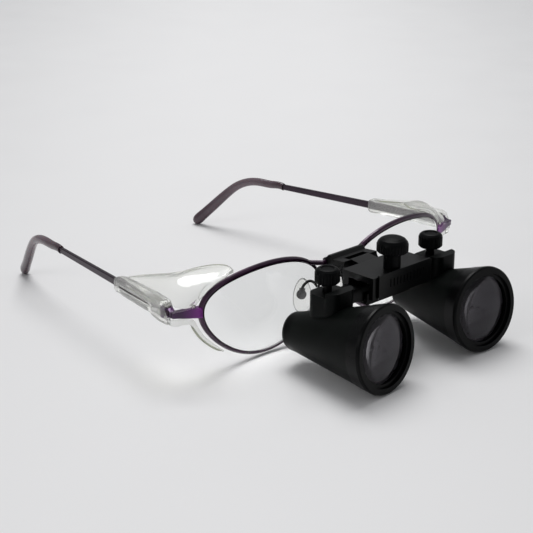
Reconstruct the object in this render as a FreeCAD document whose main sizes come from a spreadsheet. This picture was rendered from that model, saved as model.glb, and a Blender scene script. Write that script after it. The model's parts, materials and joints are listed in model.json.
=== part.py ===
# Dental loupes: a wire spectacle frame with clear side shields, carrying a flip-up
# pair of Galilean barrels on a bridge clamp.
#
# Frame of the row: +Z up, the wearer looks along -Y, the wearer's right is -X.
# The object stands on its two front rings and on its two temple tips, on z = 0.
# All lengths are millimetres and angles degrees.  Most pieces are described in the
# lens frame (y = 0 at the front of the spectacle lenses) and shifted by y_shift.
import FreeCAD, Part
import math
import os

V = FreeCAD.Vector
doc = FreeCAD.newDocument("loupes")

# ------------------------------------------------------------------ sizes
sheet = doc.addObject("Spreadsheet::Sheet", "Sizes")
SIZES = [
    ("y_shift", -39.1),
    # barrels (local axis from the front face, z negative towards the eye)
    ("ring_r", 15.26), ("ring_len", 6.4), ("ring_bevel", 1.2), ("glass_r", 11.7), ("seat_r", 13.0),
    ("obj_r", 13.0), ("spigot_r", 13.08), ("cone_front_r", 13.95), ("cone_rear_r", 7.35),
    ("barrel_len", 40.4), ("eye_len", 4.4), ("eye_r", 6.85), ("ocular_r", 5.4),
    ("barrel_x", 25.61), ("barrel_y", -47.99), ("barrel_conv", 4.4), ("barrel_tilt", 6.0),
    ("stop_seat", 20.0), ("stop_r", 8.95), ("stop_hole", 5.6),
    # pivot and carriage
    ("pivot_x", 26.5), ("pivot_y", -21.3), ("saddle_w", 12.0), ("saddle_front", 8.4),
    ("saddle_rear", 4.2), ("saddle_top", 28.8), ("saddle_lip", 30.5), ("saddle_corner", 3.6),
    ("slot_low", 24.3), ("slot_high", 26.5), ("post_r", 1.5), ("tongue_r", 3.8),
    ("arm_half", 2.7), ("arm_low", 22.2), ("arm_high", 27.0), ("arm_in", 4.6), ("arm_out", 19.3),
    # head
    ("head_half", 13.0), ("head_left", 16.5), ("head_front", -29.7), ("head_rear", -15.7), ("head_top", 31.6),
    ("head_low", 21.6), ("face_thick", 0.9), ("face_low", 23.8), ("face_high", 32.4), ("plate_low", 29.3),
    ("base_thick", 1.2), ("shoe_high", 29.15),
    ("hinge_y", -12.0), ("hinge_z", 29.0), ("knuckle_r", 3.0), ("pin_r", 1.0),
    ("clamp_half", 8.4), ("clamp_gap", 5.0), ("clamp_low", 25.2), ("clamp_top", 32.6),
    ("bridge_y", -2.9), ("bridge_z", 29.6), ("bridge_r", 0.9),
    # knobs
    ("knob_y", -26.5), ("knob_r", 5.5), ("knob_low", 37.5), ("knob_top", 43.0), ("neck_r", 3.0),
    ("side_r", 4.3), ("side_low", 31.7), ("side_top", 36.9), ("side_neck", 1.65),
    # spectacle front
    ("rim_x", 34.32), ("rim_z", 19.77), ("rim_half_w", 27.2), ("rim_half_h", 16.96),
    ("rim_rot", 5.6), ("rim_wrap", 3.54), ("rim_panto", 5.88), ("rim_power", 1.904),
    ("rim_egg", -0.122), ("rim_flare", 3.13), ("lens_r", 125.0), ("wire_w", 0.75),
    ("wire_d", 0.9), ("lens_t", 1.8),
    # temples
    ("hinge_x", 70.66), ("hinge_fy", 6.26), ("hinge_fz", 24.68),
    ("bend_x", 54.55), ("bend_y", 104.12), ("bend_z", 23.4), ("arm_len", 79.4),
    ("end_x", 45.46), ("end_y", 127.4), ("end_z", 0.75),
    ("lug_h", 3.3), ("lug_t", 2.1), ("fold_back", 3.6), ("fork_r", 1.9), ("screw_r", 0.6),
]
val = {}
for row, (name, number) in enumerate(SIZES, 1):
    sheet.set("A%d" % row, name)
    sheet.set("B%d" % row, repr(float(number)))
    sheet.setAlias("B%d" % row, name)
    val[name] = float(number)
doc.recompute()


class Dim:
    """A length or angle: its number, and its formula over the sheet's cells."""

    def __init__(self, number, text):
        self.n = number
        self.t = text

    @staticmethod
    def of(other):
        return other if isinstance(other, Dim) else Dim(float(other), "%.6f" % float(other))

    def __add__(self, o):
        o = Dim.of(o)
        return Dim(self.n + o.n, "(%s + %s)" % (self.t, o.t))

    def __sub__(self, o):
        o = Dim.of(o)
        return Dim(self.n - o.n, "(%s - %s)" % (self.t, o.t))

    def __mul__(self, o):
        o = Dim.of(o)
        return Dim(self.n * o.n, "(%s * %s)" % (self.t, o.t))

    def __radd__(self, o):
        return Dim.of(o) + self

    def __rmul__(self, o):
        return Dim.of(o) * self

    def __rsub__(self, o):
        return Dim.of(o) - self

    def __truediv__(self, o):
        o = Dim.of(o)
        return Dim(self.n / o.n, "(%s / %s)" % (self.t, o.t))

    def __neg__(self):
        return Dim(-self.n, "(0 - %s)" % self.t)


def S(name):
    return Dim(val[name], "Sizes." + name)


# ------------------------------------------------------------------ helpers
PARTS = []          # every object that becomes a node
MADE = []           # every object that must compute cleanly


def keep(obj, label):
    obj.Label = label
    PARTS.append(obj)
    return obj


def origin_plane(body, role):
    for item in body.Origin.OriginFeatures:
        if item.Role == role:
            return item
    raise RuntimeError("no plane " + role)


def new_body(label, place=None):
    body = doc.addObject("PartDesign::Body", label)
    body.Label = label
    if place is not None:
        body.Placement = place
    return body


def sketch(body, name, role, loops, offset=None):
    """A fully placed sketch: polygons [(x, y), ...], arcs and circles, bound to the sheet."""
    sk = body.newObject("Sketcher::SketchObject", name)
    sk.AttachmentSupport = [(origin_plane(body, role), "")]
    sk.MapMode = "FlatFace"
    if offset is not None:
        sk.AttachmentOffset = FreeCAD.Placement(V(0, 0, offset.n), FreeCAD.Rotation())
        sk.setExpression("AttachmentOffset.Base.z", offset.t)
    pending = []

    def fix(geo, pos, x, y):
        for kind, d, axis in (("DistanceX", x, -2), ("DistanceY", y, -1)):
            d = Dim.of(d)
            if abs(d.n) < 1e-9:
                sk.addConstraint(Sketcher.Constraint("PointOnObject", geo, pos, axis))
            else:
                c = sk.addConstraint(Sketcher.Constraint(kind, -1, 1, geo, pos, d.n))
                pending.append((c, d.t))

    for loop in loops:
        if loop[0] == "circle":
            _, cx, cy, r = loop
            cx, cy, r = Dim.of(cx), Dim.of(cy), Dim.of(r)
            g = sk.addGeometry(Part.Circle(V(cx.n, cy.n, 0), V(0, 0, 1), r.n), False)
            if abs(cx.n) < 1e-9 and abs(cy.n) < 1e-9:
                sk.addConstraint(Sketcher.Constraint("Coincident", g, 3, -1, 1))
            else:
                fix(g, 3, cx, cy)
            c = sk.addConstraint(Sketcher.Constraint("Radius", g, r.n))
            pending.append((c, r.t))
            continue
        pts, bulge = [], {}
        for item in loop:
            if item[0] == "arc":          # ("arc", radius, side) bends the edge that follows the last point
                bulge[len(pts) - 1] = (Dim.of(item[1]), item[2])
            else:
                pts.append((Dim.of(item[0]), Dim.of(item[1])))
        ids = []
        for i, p in enumerate(pts):
            q = pts[(i + 1) % len(pts)]
            a, b = V(p[0].n, p[1].n, 0), V(q[0].n, q[1].n, 0)
            if i in bulge:
                r, side = bulge[i]
                mid = (a + b) * 0.5
                half = (b - a).Length / 2
                across = V(-(b - a).y, (b - a).x, 0).normalize()
                rise = math.sqrt(max(r.n * r.n - half * half, 0))
                centre = mid - across * (rise * side)
                first_angle = math.atan2(a.y - centre.y, a.x - centre.x)
                last_angle = math.atan2(b.y - centre.y, b.x - centre.x)
                # an arc runs anticlockwise: a bulge to the left of travel runs clockwise
                ends = (2, 1) if side > 0 else (1, 2)
                if side > 0:
                    first_angle, last_angle = last_angle, first_angle
                if last_angle < first_angle:
                    last_angle += 2 * math.pi
                arc = Part.ArcOfCircle(Part.Circle(centre, V(0, 0, 1), r.n), first_angle, last_angle)
                g = sk.addGeometry(arc, False)
                ids.append((g, ends[0], ends[1], r))
            else:
                g = sk.addGeometry(Part.LineSegment(a, b), False)
                ids.append((g, 1, 2, None))
        for i, (g, first, last, r) in enumerate(ids):
            g2, first2 = ids[(i + 1) % len(ids)][0], ids[(i + 1) % len(ids)][1]
            sk.addConstraint(Sketcher.Constraint("Coincident", g, last, g2, first2))
        for i, (g, first, last, r) in enumerate(ids):
            fix(g, first, pts[i][0], pts[i][1])
            if r is not None:
                c = sk.addConstraint(Sketcher.Constraint("Radius", g, r.n))
                pending.append((c, r.t))
    for c, text in pending:
        sk.setExpression("Constraints[%d]" % c, text)
    sk.Visibility = False
    MADE.append(sk)
    return sk


def feature(body, kind, name, sk, length=None, reverse=False, axis=None, through=False):
    f = body.newObject("PartDesign::" + kind, name)
    f.Profile = sk
    if kind in ("Revolution", "Groove"):
        f.ReferenceAxis = (sk, [axis or "V_Axis"])
        f.Angle = 360.0
    elif through:
        f.Type = 1
        if reverse:
            f.Reversed = True
    else:
        length = Dim.of(length)
        f.Length = length.n
        f.setExpression("Length", length.t)
        if reverse:
            f.Reversed = True
    body.Tip = f
    MADE.append(f)
    return f


def dome(half_width, rise):
    """Radius of the sphere whose cap has this half width and rise."""
    half_width, rise = Dim.of(half_width), Dim.of(rise)
    return (half_width * half_width + rise * rise) / (rise * 2)


def revolve(label, place, loops):
    body = new_body(label, place)
    sk = sketch(body, label + "_profile", "XZ_Plane", loops)
    feature(body, "Revolution", label + "_turned", sk)
    return keep(body, label)


def at(x=0.0, y=0.0, z=0.0, rot=None):
    """A placement given in the lens frame."""
    return FreeCAD.Placement(V(x, y + val["y_shift"], z), rot or FreeCAD.Rotation())


def shape_part(label, shape):
    """A piece made with Part's own functions, in the lens frame."""
    obj = doc.addObject("Part::Feature", label)
    if not shape.Placement.isIdentity():
        shape = Part.makeCompound([shape])
    obj.Shape = shape
    obj.Placement = at()
    MADE.append(obj)
    return keep(obj, label)


def group(label, shapes):
    return shape_part(label, Part.makeCompound(shapes))


def rod(points, r):
    """A bent wire: round bars with ball elbows."""
    out = None
    for a, b in zip(points, points[1:]):
        bar = Part.makeCylinder(r, (b - a).Length, a, (b - a))
        out = bar if out is None else out.fuse(bar)
    for p in points[1:-1]:
        out = out.fuse(Part.makeSphere(r, p))
    return out.removeSplitter()


import Sketcher

SIDES = (("right", -1), ("left", 1))

# ------------------------------------------------------------------ barrels
tilt = math.radians(val["barrel_tilt"])
conv = math.radians(val["barrel_conv"])
front_z = val["ring_r"] * math.cos(tilt) + val["ring_bevel"] * math.sin(tilt)
AXIS, FRONT = {}, {}
for side, s in SIDES:
    AXIS[side] = V(-s * math.sin(conv) * math.cos(tilt), -math.cos(conv) * math.cos(tilt), math.sin(tilt))
    FRONT[side] = V(s * val["barrel_x"], val["barrel_y"], front_z)


def barrel_place(side):
    p = FRONT[side]
    return at(p.x, p.y, p.z, FreeCAD.Rotation(V(0, 0, 1), AXIS[side]))


for side, s in SIDES:
    here = barrel_place(side)
    # outer cone with a front spigot for the ring and a rear spigot for the eyepiece
    revolve("barrel_shell_" + side, here, [[
        (S("spigot_r"), -3.45), (S("spigot_r"), -S("ring_len")),
        (S("cone_front_r"), -S("ring_len")), (S("cone_rear_r"), -S("barrel_len") + S("eye_len")),
        (6.0, -S("barrel_len") + S("eye_len")), (6.0, -S("barrel_len") + 1.3),
        (S("ocular_r") + 0.03, -S("barrel_len") + 1.3), (S("ocular_r") + 0.03, -S("barrel_len") + 3.6),
        (4.9, -S("barrel_len") + 3.6), (4.9, -35.2), (6.1, -34.0),
        (8.15, -S("stop_seat") - 1.6), (S("stop_r") + 0.02, -S("stop_seat") - 1.6),
        (S("stop_r") + 0.02, -S("stop_seat")), (11.6, -8.0), (12.0, -3.45)]])
    # front ring with its inner lip
    revolve("front_ring_" + side, here, [[
        (S("glass_r"), -2.1), (S("glass_r"), -1.0), (S("seat_r"), -1.0), (S("seat_r"), 0), (S("ring_r") - 0.55, 0),
        (S("ring_r") - 0.12, -0.45), (S("ring_r"), -S("ring_bevel")), (S("cone_front_r") + 0.15, -S("ring_len")),
        (S("spigot_r") + 0.02, -S("ring_len")), (S("spigot_r") + 0.02, -2.1)]])
    # biconvex objective
    revolve("objective_lens_" + side, here, [[
        (0, -1.12), ("arc", dome(S("glass_r") - 0.05, 1.0), 1), (S("glass_r") - 0.05, -2.12), (S("obj_r"), -2.12), (S("obj_r"), -3.43),
        (11.95, -3.43), ("arc", dome(11.95, 1.47), 1), (0, -4.9)]])
    # light stop
    revolve("light_stop_" + side, here, [[
        (S("stop_hole"), -S("stop_seat") - 1.0), (S("stop_r"), -S("stop_seat") - 1.5),
        (S("stop_r"), -S("stop_seat") - 0.3), (S("stop_hole"), -S("stop_seat") - 0.7)]])
    # biconcave eye lens
    revolve("ocular_lens_" + side, here, [[
        (0, -S("barrel_len") + 2.9), ("arc", dome(4.7, 0.68), -1), (4.7, -S("barrel_len") + 3.58),
        (S("ocular_r"), -S("barrel_len") + 3.58), (S("ocular_r"), -S("barrel_len") + 1.32),
        (4.7, -S("barrel_len") + 1.32), ("arc", dome(4.7, 0.43), -1), (0, -S("barrel_len") + 1.75)]])
    # eyepiece ring
    revolve("eyepiece_ring_" + side, here, [[
        (4.6, -S("barrel_len") + 0.5), (5.2, -S("barrel_len")), (S("eye_r") - 1.2, -S("barrel_len")),
        (S("eye_r") - 0.35, -S("barrel_len") + 0.4), (S("eye_r"), -S("barrel_len") + 1.3),
        (S("cone_rear_r") - 0.05, -S("barrel_len") + S("eye_len") - 0.02),
        (6.02, -S("barrel_len") + S("eye_len") - 0.02), (6.02, -S("barrel_len") + 1.28),
        (4.6, -S("barrel_len") + 1.28)]])

# ------------------------------------------------------------------ carriages, posts, side knobs
for side, s in SIDES:
    px, py = s * S("pivot_x"), S("pivot_y")
    body = new_body("saddle_block_" + side, at())
    half, c = S("saddle_w") * 0.5, S("saddle_corner")
    x0, x1 = px - half, px + half
    y0, y1 = py - S("saddle_front"), py + S("saddle_rear")
    outline = [(x0 + c, y0), (x1 - c, y0), ("arc", c, -1), (x1, y0 + c), (x1, y1 - c), ("arc", c, -1),
               (x1 - c, y1), (x0 + c, y1), ("arc", c, -1), (x0, y1 - c), (x0, y0 + c), ("arc", c, -1)]
    sk = sketch(body, "saddle_outline_" + side, "XY_Plane", [outline], Dim.of(12.0))
    feature(body, "Pad", "saddle_pad_" + side, sk, S("saddle_lip") - 12.0)
    # lower seat under the knob
    step = py - 4.9
    sk = sketch(body, "saddle_seat_" + side, "XY_Plane",
                [[(x0 - 2, step), (x1 + 2, step), (x1 + 2, y1 + 2), (x0 - 2, y1 + 2)]], S("saddle_lip"))
    feature(body, "Pocket", "saddle_step_" + side, sk, S("saddle_lip") - S("saddle_top"))
    # slot for the arm's tongue, open inwards and to the rear
    inner = px - s * (half + 2)
    outer = px + s * (half - 1.3)
    xa, xb = (inner, outer) if s > 0 else (outer, inner)
    sk = sketch(body, "saddle_slot_" + side, "XY_Plane",
                [[(xa, py - 4.6), (xb, py - 4.6), (xb, y1 + 2), (xa, y1 + 2)]], S("slot_high"))
    feature(body, "Pocket", "saddle_slot_cut_" + side, sk, S("slot_high") - S("slot_low"))
    sk = sketch(body, "saddle_bore_" + side, "XY_Plane", [("circle", px, py, S("post_r"))], S("saddle_lip"))
    feature(body, "Pocket", "saddle_bore_cut_" + side, sk, S("saddle_lip") - 22.9)
    # the block rides on the cone: the cone's outer surface is cut away from it
    ride = doc.addObject("Part::Cone", "ride_" + side)
    ride.setExpression("Radius1", "Sizes.cone_rear_r + 0.01")
    ride.setExpression("Radius2", "Sizes.cone_front_r + 0.01")
    ride.setExpression("Height", "Sizes.barrel_len - Sizes.eye_len - Sizes.ring_len")
    q = barrel_place(side)
    q.Base = q.Base - AXIS[side] * (val["barrel_len"] - val["eye_len"])
    ride.Placement = q
    cut = doc.addObject("Part::Cut", "barrel_saddle_" + side)
    cut.Base, cut.Tool = body, ride
    MADE.extend([ride, cut])
    keep(cut, "barrel_saddle_" + side)

    # hollow pivot post, pressed into the block
    revolve("pivot_post_" + side, at(s * val["pivot_x"], val["pivot_y"], 0), [[
        (0, 22.95), (S("post_r"), 22.95), (S("post_r"), S("saddle_top") - 0.05), (0.95, S("saddle_top") - 0.05),
        (0.95, 25.4), (0, 25.4)]])
    # stud and knurled knob that lock the barrel's angle
    revolve("side_knob_stud_" + side, at(s * val["pivot_x"], val["pivot_y"], 0), [[
        (0, 25.5), (0.9, 25.5), (0.9, S("saddle_top") + 0.1), (S("side_neck"), S("saddle_top") + 0.1),
        (S("side_neck"), S("side_low")), (1.2, S("side_low")), (1.2, S("side_low") + 2.6), (0, S("side_low") + 2.6)]])


def knurled(label, place, profile, r, low, high, count, flute):
    body = new_body(label, place)
    sk = sketch(body, label + "_profile", "XZ_Plane", [profile])
    feature(body, "Revolution", label + "_turned", sk)
    sk = sketch(body, label + "_flute", "XY_Plane", [("circle", r + flute * 0.45, 0, flute)], high)
    cut = feature(body, "Pocket", label + "_flute_cut", sk, high - low)
    doc.recompute()
    before = body.Tip.Shape.Volume
    pat = body.newObject("PartDesign::PolarPattern", label + "_knurl")
    pat.Originals = [cut]
    pat.Axis = (sk, ["N_Axis"])
    pat.Angle = 360
    pat.Occurrences = count
    body.Tip = pat
    MADE.append(pat)
    doc.recompute()
    if not pat.Shape.Volume < before:
        raise RuntimeError("the knurl of %s cuts nothing" % label)
    return keep(body, label)


for side, s in SIDES:
    r, lo, hi = S("side_r"), S("side_low"), S("side_top")
    knurled("side_knob_" + side, at(s * val["pivot_x"], val["pivot_y"], 0),
            [(1.2, lo), (r - 0.6, lo), (r, lo + 0.6), (r, hi - 1.5), (r - 0.3, hi - 0.7), (r - 0.9, hi - 0.15), (r - 1.4, hi), (r - 1.8, hi),
             (r - 2.2, hi - 0.4), (0, hi - 0.4), (0, lo + 2.6), (1.2, lo + 2.6)],
            r, lo - 0.5, hi + 0.5, 24, Dim.of(0.36))

r, lo, hi = S("knob_r"), S("knob_low"), S("knob_top")
knurled("centre_knob", at(0, val["knob_y"], 0),
        [(1.5, S("head_top") + 0.1), (S("neck_r"), S("head_top") + 0.1), (S("neck_r"), lo), (r - 0.5, lo), (r, lo + 0.5),
         (r, hi - 2.6), (r - 0.35, hi - 1.75), (r - 1.05, hi - 0.95), (r - 2.1, hi - 0.38), (r - 3.4, hi - 0.08), (0, hi), (0, lo - 0.4), (1.5, lo - 0.4)],
        r, lo - 0.5, hi - 2.2, 30, Dim.of(0.38))
revolve("centre_knob_stud", at(0, val["knob_y"], 0), [[
    (0, S("shoe_high") + 0.06), (1.1, S("shoe_high") + 0.06), (1.5, S("shoe_high") + 0.5), (1.5, S("knob_low") - 0.4), (0, S("knob_low") - 0.4)]])

# ------------------------------------------------------------------ slider arms
for side, s in SIDES:
    px, py = s * S("pivot_x"), S("pivot_y")
    body = new_body("slider_arm_" + side, at())
    xa, xb = (-S("arm_out"), -S("arm_in")) if s < 0 else (S("arm_in"), S("arm_out"))
    h = S("arm_half")
    sk = sketch(body, "arm_bar_" + side, "XY_Plane", [[(xa, py - h), (xb, py - h), (xb, py + h), (xa, py + h)]], S("arm_low"))
    feature(body, "Pad", "arm_bar_pad_" + side, sk, S("arm_high") - S("arm_low"))
    t = S("tongue_r")
    inner = s * (S("arm_out") - 0.5)
    if s < 0:
        loop = [(inner, py - 2.2), (inner, py + 2.2), (px, py + t), ("arc", t, -1), (px - t, py), ("arc", t, -1), (px, py - t)]
    else:
        loop = [(inner, py + 2.2), (inner, py - 2.2), (px, py - t), ("arc", t, -1), (px + t, py), ("arc", t, -1), (px, py + t)]
    sk = sketch(body, "arm_tongue_" + side, "XY_Plane", [loop], S("slot_low") + 0.2)
    feature(body, "Pad", "arm_tongue_pad_" + side, sk, S("slot_high") - S("slot_low") - 0.4)
    sk = sketch(body, "arm_eye_" + side, "XY_Plane", [("circle", px, py, S("post_r") + 0.05)], S("slot_high") + 1)
    feature(body, "Pocket", "arm_eye_cut_" + side, sk, 4.0)
    keep(body, "slider_arm_" + side)

# ------------------------------------------------------------------ flip head
# sketches on the YZ plane: sketch x is the model's y, sketch y is its z; pads run along +X
body = new_body("flip_head", at(-val["head_half"], 0, 0))
hf, hr, ht, hl = S("head_front"), S("head_rear"), S("head_top"), S("head_low")
py, h = S("pivot_y"), S("arm_half")
profile = [(hf, S("face_low")), (hf + 1.8, S("face_low")), (hf + 1.8, S("plate_low")),
           (py + h + 0.12, S("plate_low")), (py + h + 0.12, hl), (hr, hl), (hr, ht), (hf, ht)]
sk = sketch(body, "head_profile", "YZ_Plane", [profile])
feature(body, "Pad", "head_pad", sk, S("head_half") + S("head_left"))
# hinge web and knuckle behind the head
ky, kz, kr = S("hinge_y"), S("hinge_z"), S("knuckle_r")
sk = sketch(body, "head_knuckle", "YZ_Plane", [[(hr - 0.5, 26.8), (ky, kz - kr), ("arc", kr, -1), (ky + kr, kz), ("arc", kr, -1),
                                              (ky, kz + kr), (hr - 0.5, 31.4)]], S("head_half") - 4.7)
feature(body, "Pad", "head_knuckle_pad", sk, 9.4)
sk = sketch(body, "head_hinge_bore", "YZ_Plane", [("circle", ky, kz, S("pin_r") + 0.05)], S("head_half") * 2)
feature(body, "Pocket", "head_hinge_cut", sk, S("head_half") * 2)
sk = sketch(body, "head_stud_bore", "XY_Plane", [("circle", S("head_half"), S("knob_y"), 1.55)], ht + 1)
feature(body, "Pocket", "head_stud_cut", sk, 5.0)
sk = sketch(body, "head_end_relief", "XY_Plane", [[(S("head_half") + S("head_left") - 3.0, hf - 1), (S("head_half") + S("head_left") + 1, hf - 1),
                                                  (S("head_half") + S("head_left") + 1, hf + 1.9), (S("head_half") + S("head_left") - 3.0, hf + 1.9)]], S("plate_low"))
feature(body, "Pocket", "head_end_relief_cut", sk, S("plate_low") - hl)
doc.recompute()
before = body.Shape.Volume
sk = sketch(body, "head_screw_bores", "XY_Plane",
            [("circle", S("head_half") - 8.5, -17.4, 0.73), ("circle", S("head_half") + 8.5, -17.4, 0.73)], hl)
feature(body, "Pocket", "head_screw_cut", sk, 1.3, reverse=True)
doc.recompute()
if not body.Shape.Volume < before - 1.0:
    raise RuntimeError("the base plate's screw holes cut nothing")
keep(body, "flip_head")

# face plate with a row of plain index lines
body = new_body("head_face_plate", at())
fa, fb, fr = -10.9, 16.2, 0.7
sk = sketch(body, "face_outline", "XZ_Plane", [[
    (fa + fr, S("face_low")), (fb - fr, S("face_low")), ("arc", fr, -1), (fb, S("face_low") + fr),
    (fb, S("face_high") - fr), ("arc", fr, -1), (fb - fr, S("face_high")), (fa + fr, S("face_high")), ("arc", fr, -1),
    (fa, S("face_high") - fr), (fa, S("face_low") + fr), ("arc", fr, -1)]], -S("head_front") + 0.02)
pad = feature(body, "Pad", "face_pad", sk, S("face_thick"))
doc.recompute()
front_y = body.Shape.BoundBox.YMin - val["y_shift"]
if front_y > val["head_front"] - 0.5:
    pad.Reversed = not pad.Reversed
    doc.recompute()
sk = sketch(body, "face_tick", "XZ_Plane", [[(-5.3, 26.9), (-4.75, 26.9), (-4.75, 29.9), (-5.3, 29.9)]],
            -S("head_front") + 0.02 + S("face_thick"))
tick = feature(body, "Pocket", "face_tick_cut", sk, 0.25)
doc.recompute()
full = pad.Shape.Volume
if not body.Shape.Volume < full - 0.05:
    tick.Reversed = not tick.Reversed
    doc.recompute()
row = body.newObject("PartDesign::LinearPattern", "face_ticks")
row.Originals = [tick]
row.Direction = (sk, ["H_Axis"])
row.Length = 17.0
row.Occurrences = 11
body.Tip = row
MADE.append(row)
doc.recompute()
if not body.Shape.Volume < full - 3.0:
    raise RuntimeError("the index lines cut nothing")
keep(body, "head_face_plate")

# base plate under the arms, and its screws
body = new_body("head_base_plate", at())
bl = S("head_low") - S("base_thick")
sk = sketch(body, "base_profile", "YZ_Plane", [[(py - h - 1.4, bl), (hr, bl), (hr, hl - 0.02), (py - h - 0.12, hl - 0.02),
                                             (py - h - 0.12, 24.4), (py - h - 1.4, 24.4)]], Dim.of(-10.8))
feature(body, "Pad", "base_pad", sk, 21.6)
sk = sketch(body, "base_holes", "XY_Plane", [("circle", -8.5, -17.4, 0.75), ("circle", 8.5, -17.4, 0.75)], S("head_low"))
feature(body, "Pocket", "base_holes_cut", sk, 3.0)
keep(body, "head_base_plate")
screws = []
for sx in (-8.5, 8.5):
    head = Part.makeCylinder(1.25, 0.7, V(sx, -17.4, val["head_low"] - val["base_thick"] - 0.72))
    shank = Part.makeCylinder(0.72, 1.95, V(sx, -17.4, val["head_low"] - val["base_thick"] - 0.02))
    slot = Part.makeBox(3, 0.35, 0.3, V(sx - 1.5, -17.4 - 0.175, val["head_low"] - val["base_thick"] - 0.75))
    screws.append(head.fuse(shank).cut(slot))
group("base_plate_screws", screws)

# pressure plate between the centre stud and the two arms
body = new_body("clamp_shoe", at())
sk = sketch(body, "shoe_outline", "XY_Plane", [[(-8.0, -27.7), (8.0, -27.7), (8.0, py + h - 0.1), (-8.0, py + h - 0.1)]], S("arm_high") + 0.05)
feature(body, "Pad", "shoe_pad", sk, S("shoe_high") - S("arm_high") - 0.05)
keep(body, "clamp_shoe")

# ------------------------------------------------------------------ bridge clamp
by, bz, br = S("bridge_y"), S("bridge_z"), S("bridge_r")
body = new_body("bridge_clamp_front", at(-val["clamp_half"], 0, 0))
cl, ct = S("clamp_low"), S("clamp_top")
sk = sketch(body, "clamp_front_profile", "YZ_Plane",
            [[(-6.6, cl), (by - 0.05, cl), (by - 0.05, ct - 1.7), (-4.4, ct), (-5.4, ct), (-6.6, ct - 1.1)]])
feature(body, "Pad", "clamp_front_pad", sk, S("clamp_half") * 2)
sk = sketch(body, "clamp_lug", "YZ_Plane", [[(-6.2, 26.6), (-6.2, ct - 1.1), (ky, kz + kr), ("arc", kr, 1), (ky - kr, kz), ("arc", kr, 1), (ky, kz - kr)]])
feature(body, "Pad", "clamp_lug_pad", sk, S("clamp_half") * 2)
sk = sketch(body, "clamp_gap_cut", "XY_Plane", [[(S("clamp_half") - S("clamp_gap"), ky - kr - 1), (S("clamp_half") + S("clamp_gap"), ky - kr - 1),
                                               (S("clamp_half") + S("clamp_gap"), -8.5), (S("clamp_half") - S("clamp_gap"), -8.5)]], Dim.of(40.0))
feature(body, "Pocket", "clamp_gap_pocket", sk, 20.0)
sk = sketch(body, "clamp_pin_bore", "YZ_Plane", [("circle", ky, kz, S("pin_r"))], S("clamp_half") * 2)
feature(body, "Pocket", "clamp_pin_cut", sk, S("clamp_half") * 2)
sk = sketch(body, "clamp_wire_groove", "YZ_Plane", [("circle", by, bz, br + 0.01)], S("clamp_half") * 2)
feature(body, "Pocket", "clamp_wire_cut", sk, S("clamp_half") * 2)
sk = sketch(body, "clamp_front_holes", "XZ_Plane", [("circle", S("clamp_half") - 6.6, 26.7, 0.72), ("circle", S("clamp_half") + 6.6, 26.7, 0.72)])
hole = feature(body, "Pocket", "clamp_front_hole_cut", sk, 5.5, reverse=True)
doc.recompute()
keep(body, "bridge_clamp_front")

body = new_body("bridge_clamp_rear", at(-val["clamp_half"], 0, 0))
sk = sketch(body, "clamp_rear_profile", "YZ_Plane", [[(by + 0.05, cl), (-1.0, cl), (-1.0, ct - 2.4), (-1.6, ct - 1.9), (by + 0.05, ct - 1.9)]], Dim.of(0.9))
feature(body, "Pad", "clamp_rear_pad", sk, S("clamp_half") * 2 - 1.8)
sk = sketch(body, "clamp_rear_groove", "YZ_Plane", [("circle", by, bz, br + 0.01)], S("clamp_half") * 2)
feature(body, "Pocket", "clamp_rear_groove_cut", sk, S("clamp_half") * 2)
sk = sketch(body, "clamp_rear_holes", "XZ_Plane", [("circle", S("clamp_half") - 6.6, 26.7, 0.72), ("circle", S("clamp_half") + 6.6, 26.7, 0.72)])
feature(body, "Pocket", "clamp_rear_hole_cut", sk, 5.0, reverse=True)
keep(body, "bridge_clamp_rear")

screws = []
for sx in (-6.6, 6.6):
    shank = Part.makeCylinder(0.7, 4.4, V(sx, -1.0, 26.7), V(0, -1, 0))
    head = Part.makeCylinder(1.2, 0.6, V(sx, -0.4, 26.7), V(0, -1, 0))
    screws.append(shank.fuse(head))
group("clamp_screws", screws)
revolve("flip_hinge_pin", at(-val["clamp_half"] - 0.5, val["hinge_y"], val["hinge_z"], FreeCAD.Rotation(V(0, 0, 1), V(1, 0, 0))), [[
    (0, 0), (1.5, 0), (1.5, 0.48), (S("pin_r"), 0.48), (S("pin_r"), S("clamp_half") * 2 + 0.9), (0, S("clamp_half") * 2 + 0.9)]])

# ------------------------------------------------------------------ eyewires and lenses
wrap, panto, rot = (math.radians(val[k]) for k in ("rim_wrap", "rim_panto", "rim_rot"))


def rim_axes(s):
    eu = V(s * math.cos(wrap), math.sin(wrap), 0)
    flat = V(s * math.sin(wrap), -math.cos(wrap), 0)
    ev = V(0, 0, 1) * math.cos(panto) + flat * math.sin(panto)
    nn = flat * math.cos(panto) - V(0, 0, 1) * math.sin(panto)
    return V(s * val["rim_x"], 0, val["rim_z"]), eu, ev, nn


def rim_uv(t):
    c, q = math.cos(t), math.sin(t)
    e = 2.0 / val["rim_power"]
    a, b = val["rim_half_w"], val["rim_half_h"]
    u = math.copysign(abs(c) ** e, c) * a
    v = math.copysign(abs(q) ** e, q) * b
    v = v * (1 + val["rim_egg"] * u / a) + val["rim_flare"] * ((u / a) ** 2 - 0.5)
    return u * math.cos(rot) - v * math.sin(rot), u * math.sin(rot) + v * math.cos(rot)


DENSE = [rim_uv(2 * math.pi * i / 2880) for i in range(2880)]
LENGTHS = [0.0]
for i in range(len(DENSE)):
    a, b = DENSE[i], DENSE[(i + 1) % len(DENSE)]
    LENGTHS.append(LENGTHS[-1] + math.hypot(b[0] - a[0], b[1] - a[1]))


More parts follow.
